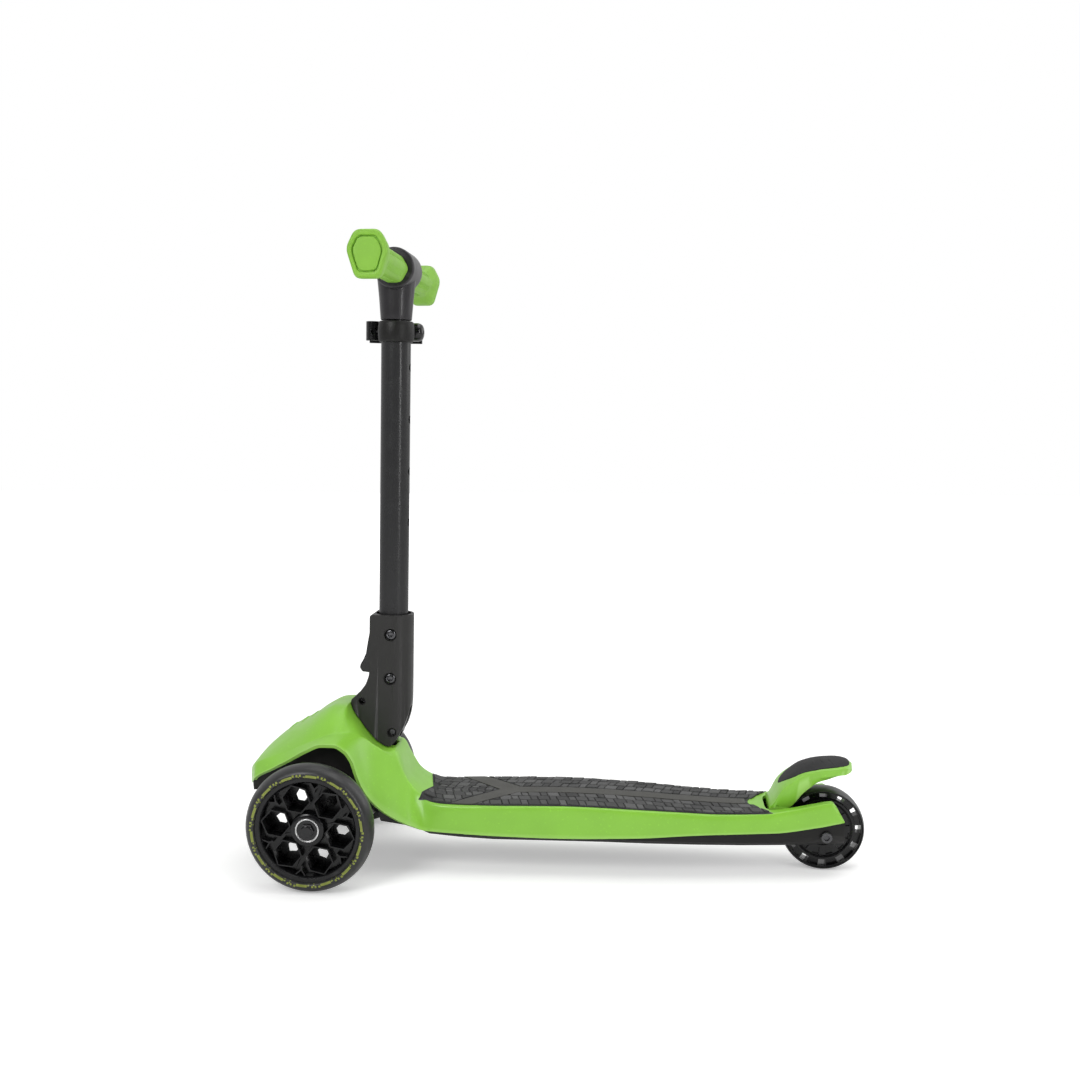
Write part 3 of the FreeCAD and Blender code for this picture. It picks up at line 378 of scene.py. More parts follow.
CREASE_Z = [(-299.5, 86), (-296.5, 92), (-290, 101), (-282, 107.5), (-262, 115.5),
            (-240, 125), (-222, 131.5), (-208, 135), (-196, 134), (-184, 130), (-172, 120),
            (-160, 111), (-150, 100), (-140, 83), (-128, 72.5), (-115, 67), (-100, 66.3),
            (-57, 67), (10, 68), (83, 65.5), (121, 63.5), (159, 61.5), (200, 62),
            (224, 65.5), (250, 71), (264, 73.4), (276, 55.9)]
EDGE_Y = [(-299.5, 10), (-296.5, 31), (-290, 50), (-282, 68), (-262, 74), (-246, 76),
          (-192, 76), (-182, 74), (-170, 66), (-159, 61), (-145, 57), (-134, 53.5),
          (-121, 51), (-100, 51.5), (-57, 53), (10, 52), (83, 51), (121, 48), (159, 45),
          (200, 39.5), (224, 37), (276, 35)]
EDGE_Z = [(-299.5, 77), (-290, 85), (-281, 95.5), (-262, 106.5), (-246, 115.5), (-231, 124),
          (-216, 130), (-204, 130), (-192.5, 124), (-186, 114.3), (-182, 101),
          (-177.5, 87.5), (-170.5, 74.5), (-159.5, 62), (-145.5, 52.5), (-134, 46.5),
          (-121.5, 41.5), (-70, 39.3), (8, 37.8), (74, 39.4), (159, 43.4), (210, 44),
          (250, 49.5), (276, 55)]
CROWN = 1.8


def along(guide, x):
    """Monotone cubic value of a guide at x."""
    if x <= guide[0][0]:
        return guide[0][1]
    if x >= guide[-1][0]:
        return guide[-1][1]
    slopes = [(b[1] - a[1]) / (b[0] - a[0]) for a, b in zip(guide, guide[1:])]

    def tangent(k):
        if k in (0, len(guide) - 1):
            return slopes[min(k, len(slopes) - 1)]
        before, after = slopes[k - 1], slopes[k]
        return 0 if before * after <= 0 else 2 * before * after / (before + after)

    k = max(i for i in range(len(slopes)) if guide[i][0] <= x)
    span = guide[k + 1][0] - guide[k][0]
    u = (x - guide[k][0]) / span
    rise = (1 + 2 * u) * (1 - u) ** 2 * guide[k][1] + u * u * (3 - 2 * u) * guide[k + 1][1]
    return rise + u * (1 - u) * span * ((1 - u) * tangent(k) - u * tangent(k + 1))


def lerp(points, x):
    """Straight-line value of (x, value) points at x."""
    if x <= points[0][0]:
        return points[0][1]
    for (x0, y0), (x1, y1) in zip(points, points[1:]):
        if x <= x1:
            return y0 + (y1 - y0) * (x - x0) / (x1 - x0)
    return points[-1][1]


CREASE_ROUND = 2.2      # how far the crease's rounding reaches to each side


def half_outline(x):
    """Half of the shell's outline across the deck: level band, crown, soft crease, side."""
    ridge = along(RIDGE, x)
    crease = Vector((along(CREASE_Y, x), along(CREASE_Z, x)))
    edge = Vector((along(EDGE_Y, x), along(EDGE_Z, x)))
    flat = min(along(FLAT, x), 0.8 * crease.x)

    def crown(u):
        return Vector((flat + u * (crease.x - flat),
                       crease.y + (ridge - crease.y) * (1 - u ** CROWN)))

    run = (crown(0.8) - crease).length / 0.2
    back = min(0.3, CREASE_ROUND / max(run, 1))
    down = min(0.35, CREASE_ROUND / max((edge - crease).length, 1))
    points = [Vector((flat * k / 3, ridge)) for k in range(4)]
    points += [crown((1 - back) * k / 7) for k in range(1, 8)]
    first, last = points[-1], crease.lerp(edge, down)
    for u in (0.2, 0.4, 0.6, 0.8):
        points.append((1 - u) ** 2 * first + 2 * u * (1 - u) * crease + u * u * last)
    for k in range(6):
        u = down + (1 - down) * k / 5
        side = crease.lerp(edge, u)
        points.append(side + Vector((1.6 * u * (1 - u), 0)))
    return points


def deck_height(x, y):
    half = half_outline(x)
    for one, two in zip(half, half[1:]):
        if one.x <= abs(y) <= two.x:
            return one.y + (two.y - one.y) * (abs(y) - one.x) / max(two.x - one.x, 1e-6)
    return half[-1].y


def spread(low, high, step):
    count = max(1, round((high - low) / step))
    return [low + (high - low) * k / count for k in range(count + 1)]


def deck_shell():
    stations = [-299.5, -298.8, -298, -297.2, -296.4] + spread(-295.5, -262, 1.6)
    stations += spread(-260, -126, 1.7) + spread(-123, 180, 5) + spread(184, 260, 3.5)
    stations += [262, 264, 266, 269, 272.5, 276]
    rings = []
    for x in stations:
        half = half_outline(x)
        rings.append([(x, p.x, p.y) for p in reversed(half)]
                     + [(x, -p.x, p.y) for p in half[1:]])
    verts, faces = [], [tuple(range(len(rings[0])))]
    grid(verts, faces, rings)
    shell = new_object("shell", verts, faces)
    top = max(shell.data.polygons, key=lambda f: f.center.z)
    if top.normal.z < 0:
        shell.data.flip_normals()
    modifier(shell, "SOLIDIFY", thickness=3 * MM, offset=-1, use_even_offset=True)
    bake(shell)
    well = prism("well", [(222, -27), (290, -27), (290, 27), (222, 27)], 0, 100, "Z")
    slot_plan = [(203, -14), (204, -19), (207, -24), (212, -26), (222.5, -26), (222.5, 26),
                 (212, 26), (207, 24), (204, 19), (203, 14)]
    slot_hole = prism("slot_hole", slot_plan, 35, 85, "Z")
    hinge = rod("hinge_well", 14.2, (-159.6, -23, 128.7), 46)
    hatch = box("hatch", (-196, -9, 100), (-157.5, 9, 150))
    cut(shell, well, slot_hole, hinge, hatch)
    finish(shell, "chassis", ["deck_shell"], "green_plastic", angle=42)


PAD_FRONT, PAD_NOTCH, PAD_POINT, PAD_REAR = -130, -121.8, 187.5, 209
PAD_SIDE = [(PAD_FRONT, 40), (-110, 44.5), (-88, 47), (-57, 49), (10, 48.3), (83, 46.5),
            (121, 43.5), (159, 40.5), (PAD_REAR, 36)]
REAR_POINT = [(PAD_POINT, 0), (188.3, 5), (190.5, 11), (195, 18), (201, 26), (PAD_REAR, 36)]


def pad_inner(x):
    """How far from the centre line the pad starts, at its front notch and rear point."""
    if x < PAD_NOTCH:
        return 40 * (PAD_NOTCH - x) / (PAD_NOTCH - PAD_FRONT)
    return 0 if x < PAD_POINT else lerp(REAR_POINT, x)


def deck_pad():
    xs = spread(PAD_FRONT, PAD_NOTCH, 2) + spread(-118, 184, 6)
    xs += [PAD_POINT, 187.8, 188.3, 189.4, 190.5, 192.5, 195, 198, 201, 205, PAD_REAR]
    verts, faces = [], []
    columns = 16
    for side in (-1, 1):
        rows = []
        for x in xs:
            near, far = pad_inner(x), lerp(PAD_SIDE, x)
            reach = max(far, near + 0.01) - near
            ys = [near + reach * k / columns for k in range(columns + 1)]
            rows.append([(x, side * y, deck_height(x, y) + 0.5) for y in ys])
        grid(verts, faces, rows)
    pad = sheet("pad", verts, faces, 1.5)
    finish(merge("pad_sheet", [pad] + pad_tiles()), "chassis", ["deck_pad"], "pad_rubber",
           bevel=0.22, segments=2, angle=38)


def clip(polygon, point, normal):
    """The part of a convex polygon on the side of the line that the normal points to."""
    kept = []
    for one, two in zip(polygon, polygon[1:] + polygon[:1]):
        a, b = (one - point).dot(normal), (two - point).dot(normal)
        if a >= 0:
            kept.append(one)
        if a * b < 0:
            kept.append(one + (two - one) * (a / (a - b)))
    return kept


def tile(name, polygon, side, rise, lean):
    """A raised rubber block that follows the deck, its top leaning a little."""
    centre = sum(polygon, Vector((0, 0))) / len(polygon)
    rings = []
    for shrink, height in ((0.0, -0.4), (0.0, 0.35 * rise), (0.5, rise)):
        ring = []
        for p in polygon:
            step = centre - p
            q = p + step.normalized() * min(shrink, 0.4 * step.length)
            z = deck_height(q.x, q.y) + 0.5 + height
            if height > 0:
                z += lean[0] * (q.x - centre.x) + lean[1] * (q.y - centre.y)
            ring.append((q.x, side * q.y, z))
        rings.append(ring)
    return skin(name, rings)


PITCH = 18.5            # length of a row's repeat: one long block and one short
SLANT = 0.22            # how far a block leans back for each millimetre outwards
LEG = Vector((-40, 39)).normalized()
BEHIND_LEGS = [(Vector((-34.5, 9.5)), Vector((LEG.y, -LEG.x)))]
FRONT_FIELD = [(Vector((-56.8, 0)), Vector((-45, -42)).normalized()),
               (Vector((-120.2, 0)), Vector((40, 8.2)).normalized())]


def slanted(first, last, low, high):
    """A block's outline, leaning back towards the pad's side."""
    return [Vector((x + SLANT * y, y))
            for x, y in ((first, low), (last, low), (last, high), (first, high))]


def trim(shape, lines):
    for point, normal in lines:
        shape = clip(shape, point, normal) if len(shape) > 2 else []
    return shape


def row_block(quad, lines, side):
    """A block of the chevron rows cut to its field and to the pad's side, or None."""
    middle = sum(quad, Vector((0, 0))) / 4
    limits = [(Vector((middle.x, lerp(PAD_SIDE, middle.x) - 1.6)), Vector((0.02, -1)))]
    if middle.x > 150:
        limits.append((Vector((186, 0)), Vector((-1, 0.6))))
    shape = gap(trim(quad, lines + limits), 0.42)
    if shape is None:
        return None
    lean = (random.uniform(-0.035, 0.035), random.uniform(-0.045, 0.045))
    return tile("tile", shape, side, random.uniform(0.8, 1.25), lean)


def pad_tiles():
    """Chevron rows of blocks each side of the stripe, and a scaly field in front of it."""
    tiles = []
    for side in (-1, 1):
        for row, (low, high) in enumerate([(10.4, 21.5), (22.1, 33.5), (34.1, 47.5)]):
            x = -140.0 + 0.4 * row * PITCH
            while x < 215:
                for first, last in ((x, x + PITCH * 0.64), (x + PITCH * 0.64, x + PITCH)):
                    quad = slanted(first, last, low, high)
                    tiles += [row_block(quad, lines, side) for lines in (BEHIND_LEGS, FRONT_FIELD)]
                x += PITCH
    for side in (-1, 1):
        for k in range(8):
            x0 = -118 + 8.0 * k
            for low, high in ((0.0, 4.7), (5.3, 10.0)):
                shape = gap(trim(slanted(x0, x0 + 7.4, low, high), FRONT_FIELD), 0.3)
                if shape is not None:
                    tiles.append(tile("tile", shape, side, random.uniform(0.7, 1.1),
                                      (random.uniform(-0.03, 0.03), 0)))
    return [made for made in tiles if made]


def gap(shape, amount):
    """The polygon drawn in a little, or None if it's too small to be a block."""
    shape = [p for k, p in enumerate(shape) if (p - shape[k - 1]).length > 0.3]
    if len(shape) < 3:
        return None
    area = abs(sum(a.x * b.y - b.x * a.y for a, b in zip(shape, shape[1:] + shape[:1]))) / 2
    if area < 9:
        return None
    centre = sum(shape, Vector((0, 0))) / len(shape)
    return [p + (centre - p).normalized() * amount * 1.3 for p in shape]


def deck_inlay():
    """The smooth grey Y: two legs that sweep to the edges and one stem."""
    n = 5                   # faces across each limb
    verts, faces = [], []

    def patch(rows):
        grid(verts, faces, [[(x, y, deck_height(x, y) + 1.45) for x, y in row] for row in rows])

    for side in (-1, 1):
        front, crotch = Vector((-55, 0)), Vector((-36, 9))
        legs = []
        for k in range(13):
            a = front.lerp(Vector((-98, 46)), k / 12)
            b = crotch.lerp(Vector((-77, 49)), k / 12)
            row = [a.lerp(b, j / n) for j in range(n + 1)]
            legs.append([(p.x, side * min(p.y, lerp(PAD_SIDE, p.x) - 0.4)) for p in row])
        patch(legs)
        wedge = []
        for k in range(n + 1):
            a, b = front.lerp(crotch, k / n), front.lerp(Vector((-36, 0)), k / n)
            row = [a.lerp(b, j / n) for j in range(n + 1)]
            wedge.append([(p.x, side * p.y) for p in row])
        patch(wedge)
        stem = []
        for x in [-36] + spread(-30, 185, 6):
            wide = 9 - (x + 36) / 221
            stem.append([(x, side * wide * (1 - j / n)) for j in range(n + 1)])
        patch(stem)
    finish(sheet("inlay", verts, faces, 1.6), "chassis", ["deck_inlay"], "inlay_rubber",
           bevel=0.35, angle=40)


deck_shell()
deck_pad()
deck_inlay()

# ------------------------ wheels


def turn2(point, angle):
    x, y = point
    return (x * math.cos(angle) - y * math.sin(angle), x * math.sin(angle) + y * math.cos(angle))


def hexagon(radius, reach=1.0):
    return [(radius * math.cos(math.radians(60 * k)) * (reach if k == 0 else 1),
             radius * math.sin(math.radians(60 * k))) for k in range(6)]


def window(radius, reach, spot, turn, centre):
    """A hexagon outline at a place on the wheel, in (x, z)."""
    points = [turn2((spot + x, z), turn) for x, z in hexagon(radius, reach)]
    return [(centre[0] + x, centre[1] + z) for x, z in points]


def frame_ring(name, outer, inner, low, high):
    """A wall that follows one outline outside and another inside."""
    n = len(outer)
    verts = [(x, y, z) for y, ring in ((low, outer), (high, outer), (high, inner), (low, inner))
             for x, z in ring]
    faces = []
    for k in range(4):
        for i in range(n):
            j = (i + 1) % n
            m = (k + 1) % 4
            faces.append((k * n + i, k * n + j, m * n + j, m * n + i))
    return new_object(name, verts, faces)


def even(half):
    """A closed profile from its upper half, the same on both sides of zero."""
    return [(half[0][0], -half[0][1])] + half + [(r, -h) for r, h in reversed(half[1:])]


def crowned(half):
    """A tyre's profile from its upper half, which ends on the tread's middle."""
    return half + [(r, -h) for r, h in reversed(half[:-1])]


FRONT, REAR = (-219.5, 60), (259.5, 40)     # axles, (x, z)
WINDOW_TURN = -10
WINDOW_SPOT = 29.7      # distance of the hexagonal windows from the axle
TYRE_WALL = [(49.02, 11.2), (50.2, 13.6), (51.4, 14), (53.4, 13.7), (55.6, 12.3)]


def front_core(name, side, centre):
    cy = centre[1]
    rim = lathe("rim", even([(48.9, 11), (45.6, 11), (44.2, 9.6), (43, 6)]), centre)
    hub = lathe("hub", even([(10.95, 11), (13.6, 11), (15.2, 9.9), (16.3, 6.5)]), centre)
    web = lathe("web", [(15, -side * 9.4), (15, side * 2.5), (44, side * 2.5), (44, -side * 9.4)],
                centre)
    back = lathe("back", [(15, -side * 11.4), (15, -side * 9.4), (44, -side * 9.4),
                          (44, -side * 11.4)], centre)
    holes, small, walls = [], [], []
    for k in range(6):
        turn = math.radians(60 * k + WINDOW_TURN)
        inner = window(12.5, 1.08, WINDOW_SPOT, turn, FRONT)
        outer = window(13.8, 1.07, WINDOW_SPOT, turn, FRONT)
        holes.append(prism("hole", inner, cy - 20, cy + 20))
        small.append(prism("exit", window(5.6, 1.25, 28.2, turn, FRONT), cy - 20, cy + 20))
        ends = sorted((cy + side * 9.2, cy - side * 11.5))
        walls.append(frame_ring("wall", outer, inner, *ends))
        fork = [turn2(p, turn + math.radians(30)) for p in
                [(34.5, -0.8), (38.4, -1.0), (44.2, -5.6), (44.2, -4.2), (39.4, 0), (44.2, 4.2),
                 (44.2, 5.6), (38.4, 1.0), (34.5, 0.8)]]
        walls.append(prism("fork", [(FRONT[0] + x, FRONT[1] + z) for x, z in fork],
                           cy - 8.4, cy + 8.4))
    cut(web, *holes)
    cut(back, *small)
    core = merge(f"front_core_mesh_{name}", [rim, hub, web, back] + walls)
    finish(core, f"front_wheel_{name}", [f"front_core_{name}"], "core_plastic", bevel=0.45)


def front_wheel(name, side):
    body = f"front_wheel_{name}"
    centre = (FRONT[0], side * 104, FRONT[1])
    front_core(name, side, centre)
    profile = crowned(TYRE_WALL + [(57.4, 9.9), (58.9, 6.5), (59.75, 2.9), (60, 0)])
    tyre = lathe(f"front_tyre_mesh_{name}", profile, centre, steps=144)
    finish(tyre, body, [f"front_tyre_{name}"], "tyre_pu", angle=60)

    def outward(profile):
        return [(r, side * h) for r, h in profile]

    cap = lathe(f"front_cap_{name}", outward([(10.0, 11.0), (10.2, 11.6), (10.75, 11.7),
                                              (10.85, 11.0), (10.85, 10.6), (10.0, 10.6)]), centre)
    finish(cap, body, [], "bearing_steel", bevel=0.1)
    seal = lathe(f"front_seal_{name}", outward([(4.3, 10.2), (4.3, 11.1), (7.6, 11.3),
                                                (9.9, 11.0), (9.9, 10.2)]), centre)
    finish(seal, body, [], "core_plastic", bevel=0.1, mat="glossy_black")
    print_ring(name, side, centre, body)


def print_ring(name, side, centre, body):
    """Broken olive dashes and small three-pointed marks moulded under the tyre's side."""
    verts, faces = [], []

    def strip(a0, a1, r0, r1, steps):
        rows = []
        for k in range(steps + 1):
            a = math.radians(a0 + (a1 - a0) * k / steps)
            rows.append([(centre[0] + r * math.cos(a),
                          centre[1] + side * (lerp(TYRE_WALL, r) + 0.04),
                          centre[2] + r * math.sin(a)) for r in (r0, (r0 + r1) / 2, r1)])
        grid(verts, faces, rows)

    step = 360 / 14
    for k in range(14):
        a = k * step + 7
        strip(a - 5.6, a + 5.6, 50.2, 52.5, 6)
        strip(a - 8.2, a - 6.2, 51.4, 53.4, 2)
        strip(a + 6.2, a + 8.2, 49.6, 51.5, 2)
        b = a + step / 2
        for low, high, near, far in ((-0.6, 0.6, 49.5, 51.4), (-2.6, -0.8, 51.2, 53.2),
                                     (0.8, 2.6, 51.2, 53.2)):
            strip(b + low, b + high, near, far, 1)
    ring = new_object(f"front_print_{name}", verts, faces)
    modifier(ring, "SOLIDIFY", thickness=0.12 * MM, offset=0)
    bake(ring)
    finish(ring, body, [], "tyre_pu", angle=60, mat="print_green")


def wheel_slot(near, half_near, far, half_far, turn):
    """Outline of a window in the rear wheel, between two distances from its axle."""
    corners = [(near, -half_near), (far, -half_far), (far, half_far), (near, half_near)]
    return [(REAR[0] + x, REAR[1] + z)
            for x, z in (turn2(p, math.radians(turn)) for p in corners)]


def rear_wheel():
    centre = (REAR[0], 0, REAR[1])
    profile = [(10.95, 10), (13.5, 10), (15, 8.6), (16.5, 7.4), (26, 7.4), (28.2, 9.2),
               (30.0, 9.2), (30.6, 5.5), (35.8, 5.5), (36.0, 10), (36.9, 10)]
    core = lathe("rear_core_mesh", even(profile), centre)
    holes = []
    for k in range(12):
        holes.append(prism("hole", wheel_slot(31.0, 3.4, 35.6, 3.9, 30 * k), -20, 20))
        for low, high in ((-12, -5.6), (5.6, 12)):
            dish = wheel_slot(18.5, 2.2, 25.5, 3.4, 30 * k + 15)
            holes.append(prism("dish", dish, low, high))
    cut(core, *holes)
    finish(core, "rear_wheel", ["rear_core"], "core_plastic", bevel=0.4)
    profile = [(37.02, 9.6), (37.3, 11.4), (37.7, 11.9), (38.4, 11.2), (39.2, 8.6), (39.75, 5),
               (40, 0)]
    tyre = lathe("rear_tyre_mesh", crowned(profile), centre, steps=144)
    finish(tyre, "rear_wheel", ["rear_tyre"], "tyre_pu", angle=60)


# ------------------------ foot brake
FENDER_TOP = [(206.5, 66), (209.5, 70.5), (212.2, 74.3), (215.2, 80.8), (219.3, 86.3),
              (227.5, 93), (239.8, 100.8), (254.2, 104.9), (264.5, 106.2), (274.8, 106.9),
              (282, 106.3), (286, 104)]
FENDER_UNDER = [(206.5, 64.6), (216, 60), (225.5, 63.5), (231.7, 69.5), (237.7, 77.1),
                (246.7, 84.8), (251.7, 88.6), (261.8, 92), (271.9, 95.4), (286, 99.4)]

FENDER_DROOP = 2.6      # how far the top falls from its middle to its sides
BRAKE_HINGE = (212, 55)


def fender_half(x):
    return lerp([(206.5, 21.5), (215, 23.5), (225, 25.2), (262, 24.8), (272, 23.6), (279, 21),
                 (283, 17.5), (285.2, 12.5), (286.2, 5.5), (286.5, 2)], x)


def fender_ring(x):
    top, low, half = along(FENDER_TOP, x), along(FENDER_UNDER, x), fender_half(x)
    edge = min(4.2, 0.45 * (top - low))
    upper = []
    for k in range(13):
        u = -1 + k / 6
        upper.append((x, half * u, top - FENDER_DROOP * u * u - (0.9 if abs(u) == 1 else 0)))
    side_low = max(low, top - FENDER_DROOP - edge - 3.0)
    lower = [(0.985, side_low), (0.8, low + 0.3), (0.4, low), (0, low), (-0.4, low),
             (-0.8, low + 0.3), (-0.985, side_low)]
    return upper + [(x, half * u, z) for u, z in lower]


def fender():
    xs = spread(206.5, 280, 2.5) + [281.5, 283, 284.2, 285.2, 286, 286.5]
    arm = skin("fender_mesh", [fender_ring(x) for x in xs])
    wheel_room = rod("wheel_room", 45.5, (REAR[0], -14.5, REAR[1]), 29, steps=96)
    cut(arm, wheel_room, skin("pocket", pad_rings(1.3, 6)))
    foot = prism("foot", [(207.6, 66), (224, 64), (216, 55), (208, 55)], -21.5, 21.5)
    hinge = rod("hinge", 4.5, (BRAKE_HINGE[0], -21.5, BRAKE_HINGE[1]), 43)
    whole = merge("fender_whole", [arm, foot, hinge])
    finish(whole, "brake", ["brake_fender"], "green_plastic", bevel=0.7, angle=40)
    pad = skin("brake_pad_mesh", pad_rings(1.2, 0.35, 0.25))
    finish(pad, "brake", ["brake_pad"], "pad_rubber", bevel=0.4, angle=40)
    brake_pad_ribs()


def brake_pad_ribs():
    """Curved ribs across the rubber foot pad."""
    ribs = []
    for k in range(6):
        x = 226 + 7.6 * k
        rings = []
        for u in [v / 6 for v in range(-6, 7)]:
            y = 0.72 * fender_half(x) * u
            z = fender_top(x, y) + 0.62
            rings.append([(x + 3.0 * abs(u) + dx, y, z + dz)
                          for dx, dz in ((-0.3, -1.0), (0, 0), (1.7, 0.35), (2.2, -0.9))])
        ribs.append(skin("rib", rings))
    finish(merge("brake_pad_ribs", ribs), "brake", [], "pad_rubber", bevel=0.25, segments=2)


def fender_top(x, y):
    return along(FENDER_TOP, x) - FENDER_DROOP * (y / fender_half(x)) ** 2


PAD_PLAN = [(216.5, 2), (218, 6.5), (221, 11), (225.5, 15.5), (231, 18.8), (238, 21),
            (250, 22.4), (262, 22.2), (270, 21.2), (276, 19.2), (280, 16.2), (282.6, 11.5),
            (283.8, 4)]


def pad_rings(depth, height, draw_in=0.0):
    """Rings of the foot pad, from a depth below the fender's top to a height above it."""
    xs = [216.5, 218, 219.5, 221, 223, 225.5, 228, 231, 234.5] + spread(238, 270, 4)
    xs += [273, 276, 278, 280, 281.5, 282.6, 283.8]
    rings = []
    for x in xs:
        half = lerp(PAD_PLAN, x) - draw_in
        upper = [(x, half * k / 5, fender_top(x, half * k / 5) + height) for k in range(-5, 6)]
        lower = [(x, half * k / 5, fender_top(x, half * k / 5) - depth) for k in range(5, -6, -1)]
        rings.append(upper + lower)
    return rings


front_wheel("left", -1)
front_wheel("right", 1)
rear_wheel()
fender()

# ------------------------ stem, in its leaning frame
HOUSING = [(-20.3, 244.5), (20, 244.5), (20, 191.5), (19.25, 158.9), (17.3, 145.8),
           (13.5, 133.7), (9.2, 125.8), (4.95, 118.1), (0.7, 114.6), (-4.5, 116),
           (-11.5, 119.9), (-20.3, 128.5), (-29.1, 139.4), (-36.9, 149), (-40.2, 157.8),
           (-30.7, 166.4), (-24, 175.2), (-20.5, 184.8)]
PIVOT = (2.62, 128.77)
SCREWS = [(0.55, 225.4), (0.4, 182.1), (-27.6, 158.4)]


def rounded(points, radius, steps=5):
    """The outline with each corner turned into a small curve."""
    made = []
    n = len(points)
    for k in range(n):
        here = Vector(points[k])
        back, ahead = Vector(points[k - 1]) - here, Vector(points[(k + 1) % n]) - here
        a = here + back.normalized() * min(radius, 0.45 * back.length)
        b = here + ahead.normalized() * min(radius, 0.45 * ahead.length)
        for i in range(steps):
            u = i / (steps - 1)
            made.append(tuple((1 - u) ** 2 * a + 2 * u * (1 - u) * here + u * u * b))
    return made


def housing(side, name):
    plan = [(-41, 0), (-41, 8.5), (-40.4, 11), (-39, 13), (-36.6, 14.6), (-33, 15.7),
            (-28, 16.6), (-22, 17.6), (-16, 18.5), (-11, 19.15), (-7, 19.5), (-3.5, 19.7),
            (0, 19.75)]
    plan += [(20 * math.sin(math.radians(a)), 19.75 * math.cos(math.radians(a)))
             for a in range(8, 90, 7)] + [(20.1, 0)]
    outline = rounded(HOUSING, 3.0, 4)
    low, high = sorted((side * 0.05, side * 21))
    half = prism(f"housing_mesh_{name}", outline, low, high, "Y", STEM)
    rounding = prism("rounding", [(u, side * v) for u, v in plan], 100, 260, "Z", STEM)
    cut(half, rounding, operation="INTERSECT")
    holes = [rod("tube_room", 14.32, (0, 0, 190), 60, "Z", STEM),
             rod("mouth", 17.2, (0, 0, 239.5), 10, "Z", STEM),
             rod("tongue", 27.5, (PIVOT[0], -5.7, PIVOT[1]), 11.4, "Y", STEM),
             box("trigger_room", (-34, -6.6, 184.2), (-12, 6.6, 228.5), STEM),
             rod("pin_room", 3.05, (PIVOT[0], -30, PIVOT[1]), 60, "Y", STEM)]
    for (u, w), r, depth in zip(SCREWS + [PIVOT], (6.2, 6.2, 3.7, 4.6), (16.4, 16.4, 9.5, 14.2)):
        start = depth if side > 0 else -depth - 10
        holes.append(rod("bore", r, (u, start, w), 10, "Y", STEM))
    cut(half, *holes)
    finish(half, "stem", [f"housing_{name}"], "black_plastic", bevel=0.7, angle=40)


def screw_heads():
    parts = []
    for side in (-1, 1):
        for (u, w), r, depth in zip(SCREWS, (5.0, 5.0, 3.3), (18.6, 18.6, 9.9)):
            profile = [(0, depth - 3), (r, depth - 3), (r, depth - 0.9), (r * 0.8, depth - 0.15),
                       (r * 0.52, depth), (r * 0.46, depth - 1.4), (0, depth - 1.4)]
            head = lathe("head", [(a, side * b) for a, b in profile], (u, 0, w), "Y", 48, STEM)
            parts.append(head)
    finish(merge("housing_screw_mesh", parts), "stem", ["housing_screws"], "black_steel",
           bevel=0.25, segments=2, mat="dark_metal")


TRIGGER = [(-19.7, 226.8), (-23.2, 224.5), (-25.0, 214), (-26.5, 204), (-29, 198),
           (-31.8, 193), (-32.6, 189.5), (-30, 185.6), (-20.9, 184.8), (-18.8, 184.5),
           (-18.8, 170.5), (-8.5, 170.5), (-8.5, 174.5), (-15.3, 174.5), (-15.3, 187),
           (-20.6, 188), (-20.6, 212), (-15.6, 218), (-15.2, 222), (-17, 226)]


def fold_pin():
    pin = rod("fold_pin_mesh", 2.98, (PIVOT[0], -15.6, PIVOT[1]), 31.2, "Y", STEM)
    finish(pin, "chassis", ["fold_pin"], "zinc_steel", bevel=0.4, mat="dark_metal")


def trigger():
    grip = prism("trigger_mesh", TRIGGER, -6, 6, "Y", STEM)
    grooves = [rod("groove", 0.9, (-33.4 + 0.2 * k, -8, 188.5 + 2.9 * k), 16, "Y", STEM, 20)
               for k in range(3)]
    cut(grip, *grooves)
    finish(grip, "trigger", ["fold_trigger"], "black_plastic", bevel=1.1, segments=4, angle=40,
           mat="glossy_black")


def collar():
    ring = lathe("ring", [(14.32, 508), (15.6, 508), (16.5, 508.8), (17.0, 510.6), (17.5, 514),
                          (17.7, 518), (17.5, 522), (17.0, 525.4), (16.5, 527.2), (15.6, 528),
                          (14.32, 528)], (0, 0, 0), "Z", 96, STEM)
    ears = prism("ears", rounded([(-19, 9), (12.6, 9), (12.6, 26), (-19, 26)], 3), 511, 527,
                 "Z", STEM)
    cut(ears, rod("room", 15, (0, 0, 500), 40, "Z", STEM))
    cut(ears, rod("bolt_room", 2.6, (-30, 20, 519), 60, "X", STEM))
    cut(ears, box("slit", (-0.75, 12, 500), (0.75, 40, 540), STEM))
    whole = merge("collar_mesh", [ring, ears])
    finish(whole, "stem", ["clamp_collar"], "black_plastic", bevel=0.8)
    nut = lathe("clamp_nut_mesh", [(0, 13.1), (9, 13.1), (9, 18.0), (8.4, 20.2), (6.9, 22.2),
                                   (4.6, 23.2), (2.4, 23.4), (2.1, 22.2), (0, 22.2)],
                (0, 20, 519), "X", 72, STEM)
    finish(nut, "stem", ["clamp_nut"], "black_plastic", bevel=0.35, mat="glossy_black")


def lever():
    cam = rod("cam", 7.2, (-26.5, 20, 510.5), 18.5, "Z", STEM)
    plan = rounded([(-32, 24.5), (-26.5, 26.5), (-20.5, 27.4), (-12, 29.8), (20, 29.8),
                    (20, 33), (-14, 33), (-30, 29.5)], 1.5, 4)
    arm = prism("arm", plan, 508.5, 522, "Z", STEM)
    cut(cam, box("bolt_way", (-27, 8, 516), (-14.5, 20.5, 522), STEM))
    finish(merge("lever_mesh", [cam, arm]), "quick_lever", ["clamp_lever"], "black_plastic",
           bevel=0.9, segments=4, angle=40, mat="glossy_black")


HANDLE = (-152, 575.2)  # the handlebar's axis, (x, z)
BAR = STEM.inverted() @ Vector((HANDLE[0], 0, HANDLE[1]))


